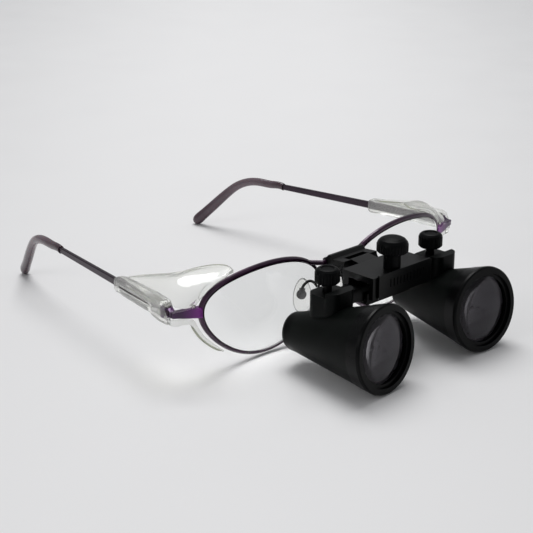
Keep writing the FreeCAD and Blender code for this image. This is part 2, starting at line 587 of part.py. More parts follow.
def even_outline(n):
    """Points evenly spaced along the eyewire's centre line, smoothed, with outward normals."""
    pts, k = [], 0
    for i in range(n):
        goal = LENGTHS[-1] * i / n
        while LENGTHS[k + 1] < goal:
            k += 1
        f = (goal - LENGTHS[k]) / (LENGTHS[k + 1] - LENGTHS[k])
        a, b = DENSE[k % 2880], DENSE[(k + 1) % 2880]
        pts.append((a[0] + (b[0] - a[0]) * f, a[1] + (b[1] - a[1]) * f))
    for _ in range(2):
        pts = [((pts[i - 1][0] + 2 * pts[i][0] + pts[(i + 1) % n][0]) / 4,
                (pts[i - 1][1] + 2 * pts[i][1] + pts[(i + 1) % n][1]) / 4) for i in range(n)]
    out = []
    for i in range(n):
        a, b = pts[i - 1], pts[(i + 1) % n]
        length = math.hypot(b[0] - a[0], b[1] - a[1])
        out.append((pts[i][0], pts[i][1], (b[1] - a[1]) / length, -(b[0] - a[0]) / length))
    return out


OUTLINE = even_outline(44)


def rim_point(s, i, off, depth):
    o, eu, ev, nn = rim_axes(s)
    u, v, nu, nv = OUTLINE[i % len(OUTLINE)]
    u, v = u + nu * off, v + nv * off
    sag = val["lens_r"] - math.sqrt(val["lens_r"] ** 2 - u * u - v * v)
    return o + eu * u + ev * v - nn * (sag + depth)


def closed_curve(points):
    curve = Part.BSplineCurve()
    n = len(points)
    curve.interpolate(Points=points, PeriodicFlag=True, Parameters=[i / n for i in range(n + 1)])
    return curve.toShape()


def ring_solid(curves):
    faces = [Part.makeRuledSurface(a, b) for a, b in zip(curves, curves[1:] + curves[:1])]
    shell = Part.makeShell(faces)
    if not shell.isClosed():
        shell = Part.Shell(faces)
        shell.sewShape()
    solid = Part.makeSolid(shell)
    if solid.Volume < 0:
        solid.reverse()
    return solid


RIM = {}
for side, s in SIDES:
    w, d, k = val["wire_w"], val["wire_d"], 0.42
    section = [(w, -d * k), (w, d * k), (w * k, d), (-w * k, d), (-w, d * k), (-w, -d * k), (-w * k, -d), (w * k, -d)]
    curves = [closed_curve([rim_point(s, i, a, b) for i in range(len(OUTLINE))]) for a, b in section]
    RIM[side] = ring_solid(curves)
    shape_part("rim_" + side, RIM[side])
    # lens: the inner outline taken through a shell of the base curve
    o, eu, ev, nn = rim_axes(s)
    gap = -val["wire_w"] - 0.03
    flat = []
    for i in range(len(OUTLINE)):
        u, v, nu, nv = OUTLINE[i]
        flat.append(o + eu * (u + nu * gap) + ev * (v + nv * gap) + nn * 6.0)
    face = Part.Face(Part.Wire([closed_curve(flat)]))
    prism = face.extrude(nn * -16.0)
    centre = o - nn * val["lens_r"]
    outer = Part.makeSphere(val["lens_r"] + val["lens_t"] / 2, centre)
    inner = Part.makeSphere(val["lens_r"] - val["lens_t"] / 2, centre)
    lens = prism.common(outer).cut(inner)
    shape_part("spectacle_lens_" + side, lens)

# ------------------------------------------------------------------ bridge wire, end pieces, screws
OUT = {}
for side, s in SIDES:
    best = max(range(len(OUTLINE)), key=lambda i: rim_point(s, i, 0, 0).x * s)
    OUT[side] = rim_point(s, best, 0, 0)


def rim_at_z(s, z, inner):
    """The eyewire's centre at a height, on the nasal or temporal side."""
    best = None
    n = len(OUTLINE)
    for i in range(n):
        p = rim_point(s, i, 0, 0)
        q = rim_point(s, i + 1, 0, 0)
        if (p.z - z) * (q.z - z) <= 0 and p.z != q.z:
            m = p + (q - p) * ((z - p.z) / (q.z - p.z))
            if best is None or (m.x * s < best.x * s) == inner:
                best = m
    return best


tools = RIM["right"].fuse(RIM["left"])
ends = {}
for side, s in SIDES:
    p = rim_at_z(s, val["bridge_z"] + 0.3, True)
    ends[side] = p
span = [ends["right"], V(-9.6, val["bridge_y"], val["bridge_z"]), V(9.6, val["bridge_y"], val["bridge_z"]), ends["left"]]
shape_part("bridge_wire", rod(span, val["bridge_r"]).cut(tools))

hinge_screws, rim_screws = [], []
TEMPLE = {}
for side, s in SIDES:
    corner = V(s * val["hinge_x"], val["hinge_fy"], val["hinge_fz"])
    bend = V(s * val["bend_x"], val["bend_y"], val["bend_z"])
    back = V(bend.x - corner.x, bend.y - corner.y, 0).normalize()
    hinge = corner + back * val["fold_back"]
    TEMPLE[side] = (corner, hinge, back)
    start = V(OUT[side].x - s * 0.2, OUT[side].y, corner.z)
    knee = corner - V(s * 0.35, 0.0, 0)
    run = V(knee.x - start.x, knee.y - start.y, 0)
    low = corner.z - val["lug_h"] / 2 - 0.35
    parts = []
    for tag, p, d, length in (("front", start, run, run.Length + val["lug_t"] * 0.42), ("back", knee, back, val["fold_back"])):
        rotz = FreeCAD.Rotation(V(0, 0, 1), math.degrees(math.atan2(d.y, d.x)))
        shift = rotz.multVec(V(0, -val["lug_t"] / 2, 0))
        bar = doc.addObject("Part::Box", "lug_%s_%s" % (tag, side))
        bar.setExpression("Length", "%.4f" % length)
        bar.setExpression("Width", "Sizes.lug_t")
        bar.setExpression("Height", "Sizes.lug_h")
        bar.Placement = at(p.x + shift.x, p.y + shift.y, low, rotz)
        parts.append(bar)
    fork = doc.addObject("Part::Cylinder", "fork_" + side)
    fork.setExpression("Radius", "Sizes.fork_r")
    fork.setExpression("Height", "Sizes.lug_h")
    fork.Placement = at(hinge.x, hinge.y, low)
    parts.append(fork)
    joined = doc.addObject("Part::MultiFuse", "end_piece_raw_" + side)
    joined.Shapes = parts
    joined.Refine = True
    # clearance for the temple's middle knuckle, the hinge screw and the rim screw
    void1 = doc.addObject("Part::Cylinder", "knuckle_room_" + side)
    void1.Radius = 2.5
    void1.Height = 1.8
    void1.Placement = at(hinge.x, hinge.y, hinge.z - 0.9 - 0.35)
    void2 = doc.addObject("Part::Cylinder", "hinge_bore_" + side)
    void2.setExpression("Radius", "Sizes.screw_r + 0.01")
    void2.Height = 8
    void2.Placement = at(hinge.x, hinge.y, hinge.z - 4)
    mid = start + run * 0.28
    void3 = doc.addObject("Part::Cylinder", "rim_bore_" + side)
    void3.Radius = 0.66
    void3.Height = 8
    void3.Placement = at(mid.x, mid.y, hinge.z - 4)
    away = doc.addObject("Part::MultiFuse", "end_piece_voids_" + side)
    away.Shapes = [void1, void2, void3]
    first = doc.addObject("Part::Cut", "end_piece_open_" + side)
    first.Base, first.Tool = joined, away
    doc.recompute()
    # the eyewire passes through the lug's inner end
    solid = max(first.Shape.copy().cut(RIM[side].translated(V(0, val["y_shift"], 0))).Solids, key=lambda one: one.Volume)
    try:
        outer = [e for e in solid.Edges if e.Length > 3.0 and abs(e.tangentAt(e.FirstParameter).z) > 0.99
                 and (e.CenterOfMass - V(corner.x, corner.y + val["y_shift"], corner.z - 0.35)).Length < 1.9]
        soft = solid.makeFillet(0.9, outer) if outer else solid
        if soft.isValid() and len(soft.Solids) == 1:
            solid = soft.Solids[0]
    except Exception:
        pass
    solid.translate(V(0, -val["y_shift"], 0))
    MADE.extend([joined, away, first])
    shape_part("end_piece_" + side, solid)
    top = low + val["lug_h"]
    hs = Part.makeCylinder(val["screw_r"], val["lug_h"] + 0.5, V(hinge.x, hinge.y, low - 0.3)).fuse(
        Part.makeCylinder(1.15, 0.6, V(hinge.x, hinge.y, top + 0.01)))
    hs = hs.cut(Part.makeBox(3, 0.3, 0.3, V(hinge.x - 1.5, hinge.y - 0.15, top + 0.4)))
    hinge_screws.append(hs)
    rs = Part.makeCylinder(0.65, val["lug_h"] + 0.1, V(mid.x, mid.y, low - 0.05))
    rs = rs.fuse(Part.makeCylinder(1.0, 0.5, V(mid.x, mid.y, low - 0.52)))
    rim_screws.append(rs)
group("temple_hinge_screws", hinge_screws)
group("rim_screws", rim_screws)

# ------------------------------------------------------------------ nose pads
for side, s in SIDES:
    box_c = V(s * 11.4, 6.2, 16.3)
    root = rim_at_z(s, 19.5, True)
    facing = V(-s * 0.80, 0.58, -0.12).normalize()
    path = [root, root + V(s * 0.4, 2.4, 1.3), V(s * 10.4, 5.2, 20.2), V(s * 12.4, 5.6, 18.4), box_c - facing * 1.2]
    wire = rod(path, 0.5)
    turn = FreeCAD.Rotation(V(0, 0, 1), facing)
    hub = Part.makeBox(2.2, 2.6, 1.5, V(-1.1, -1.3, -1.9))
    hub.Placement = FreeCAD.Placement(box_c, turn).multiply(hub.Placement)
    arm = wire.fuse(hub).cut(RIM[side])
    arm = max(arm.Solids, key=lambda solid: solid.Volume)
    shape_part("pad_arm_" + side, arm)
    # rocking pad: a metal shoe under a clear silicone pad
    tall = FreeCAD.Placement(box_c, turn)
    # long axis of the pad is the local direction nearest to vertical
    up = V(0, 0, 1) - facing * facing.z
    up.normalize()
    acr = up.cross(facing)
    frame = FreeCAD.Placement(box_c, FreeCAD.Rotation(acr, up, facing, "ZYX"))
    shoe = Part.makeBox(2.0, 3.6, 0.7, V(-1.0, -1.8, 0.35))
    post = Part.makeCylinder(0.45, 0.8, V(0, 0, -0.3))
    shoe.Placement = frame.multiply(shoe.Placement)
    post.Placement = frame.multiply(post.Placement)
    shape_part("pad_shoe_" + side, shoe.fuse(post).cut(hub))
    ell = Part.makeSphere(1.0)
    mat = FreeCAD.Matrix()
    mat.scale(3.9, 6.8, 1.35)
    pad = ell.transformGeometry(mat)
    pad = pad.common(Part.makeBox(20, 20, 10, V(-10, -10, -0.55)))
    pad.translate(V(0, 0, 1.7))
    pad.Placement = frame.multiply(pad.Placement)
    shape_part("nose_pad_" + side, pad.cut(shoe))

# ------------------------------------------------------------------ temples
for side, s in SIDES:
    corner, hinge, zdir = TEMPLE[side]
    bend = V(s * val["bend_x"], val["bend_y"], val["bend_z"])
    reach = math.hypot(bend.x - hinge.x, bend.y - hinge.y)
    ydir = V(0, 0, 1)
    xdir = ydir.cross(zdir)
    turn = FreeCAD.Rotation(xdir, ydir, zdir, "ZYX")
    drop = (val["hinge_fz"] - val["bend_z"]) / reach
    arm_end = val["arm_len"] - val["fold_back"]
    body = new_body("temple_arm_" + side, at(hinge.x, hinge.y, hinge.z, turn))
    # middle knuckle (axis is the local y)
    sk = sketch(body, "temple_knuckle_" + side, "XZ_Plane", [("circle", 0, 0, S("fork_r"))], Dim.of(-0.45))
    feature(body, "Pad", "temple_knuckle_pad_" + side, sk, 1.6)

    def bar_section(tag, z, w, hgt, cy):
        c = 0.3
        return sketch(body, tag + side, "XY_Plane", [[
            (-w, cy - hgt + c), (-w + c, cy - hgt), (w - c, cy - hgt), (w, cy - hgt + c),
            (w, cy + hgt - c), (w - c, cy + hgt), (-w + c, cy + hgt), (-w, cy + hgt - c)]], Dim.of(z))
    a = bar_section("temple_root_", 1.2, 0.75, 0.72, -0.35)
    feature(body, "Pad", "temple_root_pad_" + side, a, 2.4)
    c1 = bar_section("temple_front_", 3.0, 0.85, 1.5, -0.25)
    c2 = bar_section("temple_rear_", arm_end, 0.75, 1.1, -drop * arm_end)
    loft = body.newObject("PartDesign::AdditiveLoft", "temple_taper_" + side)
    loft.Profile = c1
    loft.Sections = [c2]
    loft.Ruled = True
    body.Tip = loft
    MADE.append(loft)
    sk = sketch(body, "temple_core_" + side, "XY_Plane", [("circle", 0, -drop * arm_end, 0.6)], S("arm_len") - S("fold_back") - 0.5)
    feature(body, "Pad", "temple_core_pad_" + side, sk, 13.5)
    sk = sketch(body, "temple_bore_" + side, "XZ_Plane", [("circle", 0, 0, S("screw_r") + 0.06)], Dim.of(3.0))
    feature(body, "Pocket", "temple_bore_cut_" + side, sk, 6.0)
    doc.recompute()
    keep(body, "temple_arm_" + side)

    # plastic tip, a sleeve over the core that bends down behind the ear
    def along(dd):
        return hinge + V(zdir.x * dd, zdir.y * dd, -drop * dd)
    end = V(s * val["end_x"], val["end_y"], val["end_z"])
    corner = along(reach + 1.5)
    down = (end - corner).normalize()
    leg = (end - corner).Length
    back = 9.5
    p0, p1, p2 = along(reach + 1.5 - back), corner, corner + down * back
    stations = [along(arm_end + 0.02), along(86.0 - val["fold_back"]), p0]
    for q in (0.25, 0.5, 0.75):
        stations.append(p0 * ((1 - q) ** 2) + p1 * (2 * q * (1 - q)) + p2 * (q * q))
    stations += [p2, corner + down * (leg * 0.62), corner + down * (leg * 0.85), corner + down * (leg - 0.9), end]
    sizes = [(1.05, 1.35), (1.2, 1.45), (1.35, 1.5), (1.4, 1.52), (1.42, 1.55), (1.45, 1.6), (1.5, 1.7), (1.6, 1.95), (1.65, 2.1), (1.35, 1.7), (0.5, 0.7)]
    wires = []
    for i, p in enumerate(stations):
        a = stations[max(i - 1, 0)]
        b = stations[min(i + 1, len(stations) - 1)]
        tan = (b - a).normalize()
        side_dir = V(0, 0, 1).cross(tan).normalize()
        other = tan.cross(side_dir)
        w, hgt = sizes[i]
        big, small = (hgt, w)
        ell = Part.Ellipse(V(0, 0, 0), big, small)
        e = ell.toShape()
        e.Placement = FreeCAD.Placement(p, FreeCAD.Rotation(other, side_dir, tan, "ZXY"))
        wires.append(Part.Wire([e]))
    tip = Part.makeLoft(wires, True, False)
    core = Part.makeCylinder(0.66, 14.0, along(arm_end - 0.5), zdir)
    shape_part("temple_tip_" + side, tip.cut(core))

# ------------------------------------------------------------------ side shields (clear plastic)
for side, s in SIDES:
    base, hinge, zdir = TEMPLE[side]
    xdir = V(0, 0, 1).cross(zdir)          # across the temple, horizontal
    outw = xdir if xdir.x * s > 0 else xdir * -1

    def at_arm(dd, o, z):
        """A point at a distance behind the corner, across the temple, at a height."""
        return base + zdir * dd + outw * o + V(0, 0, z - base.z)

    def tube(d0, d1, o0, o1, z0, z1):
        pts = [at_arm(d0, o0, z0), at_arm(d0, o1, z0), at_arm(d0, o1, z1), at_arm(d0, o0, z1), at_arm(d0, o0, z0)]
        return Part.Face(Part.makePolygon(pts)).extrude(zdir * (d1 - d0))
    clip = tube(7.6, 37.4, -1.9, 2.1, 21.5, 28.3)
    clip = clip.makeFillet(0.8, [e for e in clip.Edges if abs(abs((e.Vertexes[1].Point - e.Vertexes[0].Point).normalize().dot(zdir)) - 1) < 1e-3])
    room = tube(6.0, 39.0, -1.15, 1.15, 22.4, 26.6)
    clip = clip.cut(room)
    # long window through the outer wall and a shallow groove above it
    clip = clip.cut(tube(11.0, 33.0, 1.6, 3.0, 26.95, 27.5))
    clip = clip.cut(tube(10.0, 34.5, 1.0, 3.0, 23.7, 25.2))

    def mirror_pt(x, y, z):
        return V(s * x, y, z)

    def spline(points):
        c = Part.BSplineCurve()
        c.interpolate(points)
        return Part.Wire([c.toShape()])
    # upper wing: from the clip over to the top of the eyewire
    contour = []
    n = len(OUTLINE)
    for i in range(n):
        p = rim_point(s, i, 0, 0)
        q = rim_point(s, i, 2.0, 0.0)
        contour.append((p, q))
    upper = [c for c in contour if c[0].z > 27.9 and c[0].x * s > 46.5]
    upper.sort(key=lambda c: -c[0].x * s)
    front = [V(q.x, q.y + 0.4, q.z) for p, q in upper]
    front = [at_arm(3.6, 0.2, 28.2)] + front + [mirror_pt(46.8, 1.2, 36.4)]
    front = [front[0], front[1]] + [f for f in front[2:-1] if f.x * s > 48.6] + [front[-1]]
    m1 = [at_arm(8.0, 0.2, 28.2), mirror_pt(60.4, 9.6, 33.0), mirror_pt(47.6, 8.6, 35.4)]
    m2 = [at_arm(16.0, 0.2, 28.2), mirror_pt(60.8, 18.8, 31.8), mirror_pt(54.4, 16.5, 33.7)]
    m3 = [at_arm(26.5, 0.2, 28.2), mirror_pt(61.6, 28.8, 29.6), mirror_pt(58.6, 27.6, 30.6)]
    m4 = [at_arm(36.6, 0.2, 28.0), mirror_pt(62.9, 38.4, 28.3), mirror_pt(61.0, 37.8, 28.4)]
    rows = []
    for pts in (front, m1, m2, m3, m4):
        c = Part.BSplineCurve()
        c.interpolate(pts)
        e = c.toShape()
        rows.append(spline(e.discretize(9)))
    skin = Part.makeLoft(rows, False, False)
    wing = (skin.Faces[0] if len(skin.Faces) == 1 else skin).extrude(V(s * 0.45, 0.0, -0.62))
    # lower strip below the eyewire's outer corner
    lower = [c for c in contour if c[0].z < 20.5 and c[0].x * s > 49.5]
    lower.sort(key=lambda c: -c[0].z)
    inner_pts, outer_pts = [], []
    o, eu, ev, nn = rim_axes(s)
    for p, q in lower:
        d = (q - p).normalize()
        inner_pts.append(p + d * 1.35)
        outer_pts.append(p + d * 3.1)
    lo_in = [at_arm(9.0, -0.6, 22.1), at_arm(4.6, -0.6, 21.6)] + inner_pts[1:]
    lo_out = [at_arm(9.0, 1.2, 21.9), at_arm(4.8, 1.2, 21.2)] + outer_pts[1:]
    strip_face = Part.makeRuledSurface(spline(spline(lo_in).discretize(8)).Edges[0], spline(spline(lo_out).discretize(8)).Edges[0])
    strip = strip_face.extrude(V(0, 1.0, 0))
    shield = clip.fuse([wing, strip])
    shape_part("side_shield_" + side, shield)

# ------------------------------------------------------------------ check and write
doc.recompute()
bad = [o.Name for o in doc.Objects if "Invalid" in o.State or "Error" in o.State]
if bad:
    raise RuntimeError("failed objects: " + ", ".join(bad))
os.makedirs("parts", exist_ok=True)
for old in os.listdir("parts"):
    if old.endswith(".step"):
        os.remove(os.path.join("parts", old))
for part in PARTS:
    shape = part.Shape
    if shape.isNull() or not shape.isValid() or not shape.Solids:
        raise RuntimeError("bad shape: " + part.Label)
    shape.exportStep("parts/%s.step" % part.Label)
    bb = shape.optimalBoundingBox(False, False)
    print("%-24s solids %d  vol %8.1f  x %.1f..%.1f y %.1f..%.1f z %.1f..%.1f" % (
        part.Label, len(shape.Solids), shape.Volume, bb.XMin, bb.XMax, bb.YMin, bb.YMax, bb.ZMin, bb.ZMax))
print(len(PARTS), "nodes")
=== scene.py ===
import bpy, bmesh, math, json
from mathutils import Vector, Matrix


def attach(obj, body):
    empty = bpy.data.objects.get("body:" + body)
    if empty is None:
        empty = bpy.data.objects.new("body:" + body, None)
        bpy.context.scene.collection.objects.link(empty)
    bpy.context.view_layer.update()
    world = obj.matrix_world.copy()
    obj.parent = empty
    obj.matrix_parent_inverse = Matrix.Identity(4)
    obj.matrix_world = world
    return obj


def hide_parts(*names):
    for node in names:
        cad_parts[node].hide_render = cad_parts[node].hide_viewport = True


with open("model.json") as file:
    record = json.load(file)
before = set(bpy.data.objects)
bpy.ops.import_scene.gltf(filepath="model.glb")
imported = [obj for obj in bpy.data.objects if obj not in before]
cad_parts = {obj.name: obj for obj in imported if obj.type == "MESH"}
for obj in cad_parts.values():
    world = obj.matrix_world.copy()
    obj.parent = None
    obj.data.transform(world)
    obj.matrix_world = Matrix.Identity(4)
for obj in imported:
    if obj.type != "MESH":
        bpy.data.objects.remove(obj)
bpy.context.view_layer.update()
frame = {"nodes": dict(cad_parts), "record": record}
YS = -0.0391                       # the lens frame's shift, as in the CAD model
SIDES = (("right", -1.0), ("left", 1.0))
NODES = frame["nodes"]
# axes of the two barrels and centres of their front faces
TILT, CONV = math.radians(6.0), math.radians(4.4)
FRONT_Z = 0.01526 * math.cos(TILT) + 0.0012 * math.sin(TILT)
AXIS = {n: Vector((-s * math.sin(CONV) * math.cos(TILT), -math.cos(CONV) * math.cos(TILT), math.sin(TILT))) for n, s in SIDES}
FRONT = {n: Vector((s * 0.02561, -0.04799 + YS, FRONT_Z)) for n, s in SIDES}


# ---------------------------------------------------------------- material helpers
class Mat:
    def __init__(self, name):
        self.m = bpy.data.materials.new(name)
        self.m.use_nodes = True
        self.nt = self.m.node_tree
        self.nt.nodes.clear()
        self.out = self.nt.nodes.new("ShaderNodeOutputMaterial")
        self.tc = self.nt.nodes.new("ShaderNodeTexCoord")

    def new(self, kind):
        return self.nt.nodes.new(kind)

    def link(self, a, b):
        self.nt.links.new(a, b)

    def put(self, sock, v):
        if isinstance(v, (int, float)):
            if sock.type in ("RGBA",):
                sock.default_value = (v, v, v, 1)
            elif sock.type == "VECTOR":
                sock.default_value = (v, v, v)
            else:
                sock.default_value = v
        elif isinstance(v, (tuple, list)):
            sock.default_value = tuple(v) + (1.0,) if sock.type == "RGBA" and len(v) == 3 else tuple(v)
        else:
            self.link(v, sock)

    def noise(self, scale, detail=2.0, rough=0.5, vec=None, distortion=0.0):
        n = self.new("ShaderNodeTexNoise")
        n.inputs["Scale"].default_value = scale
        n.inputs["Detail"].default_value = detail
        n.inputs["Roughness"].default_value = rough
        n.inputs["Distortion"].default_value = distortion
        self.link(vec or self.tc.outputs["Object"], n.inputs["Vector"])
        return n.outputs["Fac"]

    def local(self, origin, axis, stretch=(1, 1, 1)):
        """Object coordinates turned so that local Z runs along axis, with origin at zero."""
        z = Vector(axis).normalized()
        x = z.orthogonal().normalized()
        y = z.cross(x)
        m = self.new("ShaderNodeMapping")
        m.vector_type = "TEXTURE"
        m.inputs["Location"].default_value = origin
        m.inputs["Rotation"].default_value = Matrix((x, y, z)).transposed().to_euler()
        m.inputs["Scale"].default_value = stretch
        self.link(self.tc.outputs["Object"], m.inputs["Vector"])
        return m.outputs["Vector"]

    def xyz(self, vec):
        n = self.new("ShaderNodeSeparateXYZ")
        self.link(vec, n.inputs[0])
        return n.outputs

    def ramp(self, fac, stops, interp="LINEAR"):
        n = self.new("ShaderNodeValToRGB")
        n.color_ramp.interpolation = interp
        els = n.color_ramp.elements
        while len(els) > 1:
            els.remove(els[-1])
        els[0].position, els[0].color = stops[0][0], self.col(stops[0][1])
        for p, c in stops[1:]:
            e = els.new(p)
            e.color = self.col(c)
        self.link(fac, n.inputs["Fac"])
        return n.outputs["Color"]

    @staticmethod
    def col(c):
        return (c, c, c, 1.0) if isinstance(c, (int, float)) else tuple(c) + (1.0,) if len(c) == 3 else tuple(c)

    def span(self, fac, a, b, lo, hi):
        n = self.new("ShaderNodeMapRange")
        for k, v in (("From Min", a), ("From Max", b), ("To Min", lo), ("To Max", hi)):
            n.inputs[k].default_value = v
        self.link(fac, n.inputs["Value"])
        return n.outputs["Result"]

    def math(self, op, a, b=0.0, clamp=False):
        n = self.new("ShaderNodeMath")
        n.operation = op
        n.use_clamp = clamp
        self.put(n.inputs[0], a)
        self.put(n.inputs[1], b)
        return n.outputs[0]

    def mix(self, fac, a, b, kind="MIX"):
        n = self.new("ShaderNodeMix")
        n.data_type = "RGBA"
        n.blend_type = kind
        self.put(n.inputs[0], fac)
        self.put(n.inputs[6], a)
        self.put(n.inputs[7], b)
        return n.outputs[2]

    def bump(self, height, strength, distance=0.0002, normal=None):
        n = self.new("ShaderNodeBump")
        n.inputs["Strength"].default_value = strength
        n.inputs["Distance"].default_value = distance
        self.link(height, n.inputs["Height"])
        if normal is not None:
            self.link(normal, n.inputs["Normal"])
        return n.outputs["Normal"]

    def edges(self, radius=0.0003, low=0.02, high=0.25):
        """0 on flat and hollow places, 1 along outward edges."""
        bev = self.new("ShaderNodeBevel")
        bev.samples = 4
        bev.inputs["Radius"].default_value = radius
        geo = self.new("ShaderNodeNewGeometry")
        dot = self.new("ShaderNodeVectorMath")
        dot.operation = "DOT_PRODUCT"
        self.link(bev.outputs["Normal"], dot.inputs[0])
        self.link(geo.outputs["Normal"], dot.inputs[1])
        return self.span(dot.outputs["Value"], 1.0 - low, 1.0 - high, 0.0, 1.0)

    def principled(self, surface=True, **kw):
        p = self.new("ShaderNodeBsdfPrincipled")
        for k, v in kw.items():
            self.put(p.inputs[k.replace("_", " ")], v)
        if surface:
            self.link(p.outputs[0], self.out.inputs["Surface"])
        return p


# ---------------------------------------------------------------- blacks
def black(name, tint, rough, grain=2600.0, grain_bump=0.12, spec=0.30, wear=0.5, coat=0.0, brushed=None, sheen_tint=None):
    """Anodised or moulded black: fine grain, faint handling marks, edges a little worn."""
    m = Mat(name)
    fine = m.noise(grain, 3.0, 0.6)
    broad = m.noise(110.0, 4.0, 0.6)
    smudge = m.noise(38.0, 3.0, 0.5, distortion=0.6)
    colour = m.ramp(broad, [(0.28, tuple(c * 0.75 for c in tint)), (0.72, tuple(c * 1.3 for c in tint))])
    worn = m.math("MULTIPLY", m.edges(0.00022, 0.03, 0.35), m.span(m.noise(700.0, 3.0), 0.42, 0.66, 0.0, wear))
    colour = m.mix(worn, colour, tuple(c * 3.2 + 0.015 for c in tint))
    r = m.math("ADD", m.span(fine, 0.3, 0.7, rough - 0.03, rough + 0.05), m.span(smudge, 0.35, 0.7, -0.03, 0.07))
    normal = m.bump(fine, grain_bump, 0.00004)
    if brushed is not None:
        origin, axis = brushed
        v = m.local(origin, axis)
        s = m.xyz(v)
        rings = m.new("ShaderNodeTexNoise")
        comb = m.new("ShaderNodeCombineXYZ")
        rad = m.math("SQRT", m.math("ADD", m.math("MULTIPLY", s[0], s[0]), m.math("MULTIPLY", s[1], s[1])))
        m.link(m.math("MULTIPLY", rad, 1.0), comb.inputs[0])
        m.link(s[2], comb.inputs[2])
        m.link(comb.outputs[0], rings.inputs["Vector"])
        rings.inputs["Scale"].default_value = 5200.0
        rings.inputs["Detail"].default_value = 2.0
        normal = m.bump(rings.outputs["Fac"], 0.10, 0.00003, normal)
    m.principled(Base_Color=colour, Roughness=r, Normal=normal, Specular_IOR_Level=spec, Coat_Weight=coat, Coat_Roughness=0.25)
    return m.m


CONE = (0.0022, 0.0031, 0.0027)
MATS = {}
for side, s in SIDES:
    MATS["cone_" + side] = black("barrel_cone_" + side, CONE, 0.40, 2400.0, 0.16, 0.075, brushed=(FRONT[side], AXIS[side]), wear=0.3)
    MATS["ring_" + side] = black("barrel_ring_" + side, (0.0014, 0.0016, 0.0018), 0.30, 4200.0, 0.05, 0.10, brushed=(FRONT[side], AXIS[side]), wear=0.3)
MATS["barrel_black"] = black("saddle_black", (0.0020, 0.0027, 0.0026), 0.40, 2400.0, 0.16, 0.08, wear=0.3)
MATS["ring_black"] = black("turned_black", (0.0012, 0.0014, 0.0015), 0.32, 4200.0, 0.05, 0.08, wear=0.3)
MATS["knob_black"] = black("knob_black", (0.0010, 0.0013, 0.0016), 0.38, 1800.0, 0.10, 0.075, wear=0.3)
MATS["mount_black"] = black("mount_black", (0.0014, 0.0016, 0.0018), 0.32, 3000.0, 0.08, 0.22, wear=0.3)
MATS["inner_black"] = black("inner_black", (0.002, 0.002, 0.002), 0.75, 1500.0, 0.2, 0.05, wear=0.0)


# ---------------------------------------------------------------- coloured metal
def lacquered(name, dark, bright, rough, coat=0.6, metallic=0.9):
    """Coloured, clear-coated metal: fine flakes, slow drift of hue, brighter worn edges."""
    m = Mat(name)
    drift = m.noise(160.0, 3.0, 0.55)
    flakes = m.new("ShaderNodeTexVoronoi")
    flakes.inputs["Scale"].default_value = 9000.0
    m.link(m.tc.outputs["Object"], flakes.inputs["Vector"])
    sparkle = m.span(flakes.outputs["Distance"], 0.1, 0.6, 1.0, 0.0)
    colour = m.mix(m.span(drift, 0.3, 0.7, 0.0, 1.0), dark, bright)
    colour = m.mix(m.math("MULTIPLY", sparkle, 0.10), colour, tuple(min(1.0, c * 2.2 + 0.02) for c in bright))
    worn = m.math("MULTIPLY", m.edges(0.00012, 0.05, 0.4), m.span(m.noise(900.0, 2.0), 0.45, 0.65, 0.0, 0.35))
    colour = m.mix(worn, colour, tuple(min(1.0, c * 1.8 + 0.05) for c in bright))
    m.principled(Base_Color=colour, Metallic=metallic, Roughness=m.span(drift, 0.3, 0.7, rough - 0.04, rough + 0.06),
                 Coat_Weight=coat, Coat_Roughness=0.09, Normal=m.bump(flakes.outputs["Distance"], 0.04, 0.00002))
    return m.m


MATS["frame_purple"] = lacquered("rim_purple", (0.020, 0.006, 0.020), (0.040, 0.009, 0.036), 0.30, coat=0.45, metallic=0.55)
MATS["lug_violet"] = lacquered("lug_violet", (0.060, 0.010, 0.080), (0.13, 0.016, 0.16), 0.26, coat=0.5, metallic=0.75)
def lug_paint_with_highlight():
    """Violet lacquer with a painted highlight: brighter towards the eyewire, with painted shade towards the corner."""
    m = Mat("lug_violet_painted_highlight")
    v = m.xyz(m.tc.outputs["Object"])
    # painted highlight and shade: the colour runs from dark violet at the corner to bright violet at the eyewire
    painted_highlight_mask = m.span(m.math("ABSOLUTE", v[0]), 0.0600, 0.0695, 1.0, 0.0)
    drift = m.noise(300.0, 3.0, 0.55)
    flakes = m.noise(6000.0, 1.0)
    colour = m.mix(m.math("POWER", painted_highlight_mask, 1.6), (0.028, 0.005, 0.040), (0.26, 0.028, 0.31))
    colour = m.mix(m.span(drift, 0.35, 0.7, 0.0, 0.35), colour, (0.10, 0.010, 0.14))
    m.principled(Base_Color=colour, Metallic=0.7, Roughness=m.span(drift, 0.3, 0.7, 0.20, 0.30), Coat_Weight=0.6, Coat_Roughness=0.07,
                 Normal=m.bump(flakes, 0.05, 0.00002))
    return m.m


MATS["lug_violet"] = lug_paint_with_highlight()
MATS["temple_metal"] = lacquered("temple_purple", (0.017, 0.007, 0.017), (0.028, 0.012, 0.026), 0.30, coat=0.3, metallic=0.6)


def steel(name):
    m = Mat(name)
    n = m.noise(900.0, 3.0)
    br = m.noise(120.0, 2.0)
    m.principled(Base_Color=m.ramp(br, [(0.3, (0.42, 0.41, 0.40)), (0.7, (0.60, 0.59, 0.57))]), Metallic=1.0,
                 Roughness=m.span(n, 0.3, 0.7, 0.20, 0.34), Normal=m.bump(n, 0.08, 0.00003))
    return m.m


MATS["small_steel"] = steel("small_steel")
MATS["dark_pin"] = black("pin_black", (0.003, 0.003, 0.0035), 0.25, 3000.0, 0.06, 0.2)
MATS["dark_wire"] = black("wire_bronze", (0.0022, 0.0018, 0.0020), 0.34, 3000.0, 0.06, 0.12, wear=0.2)


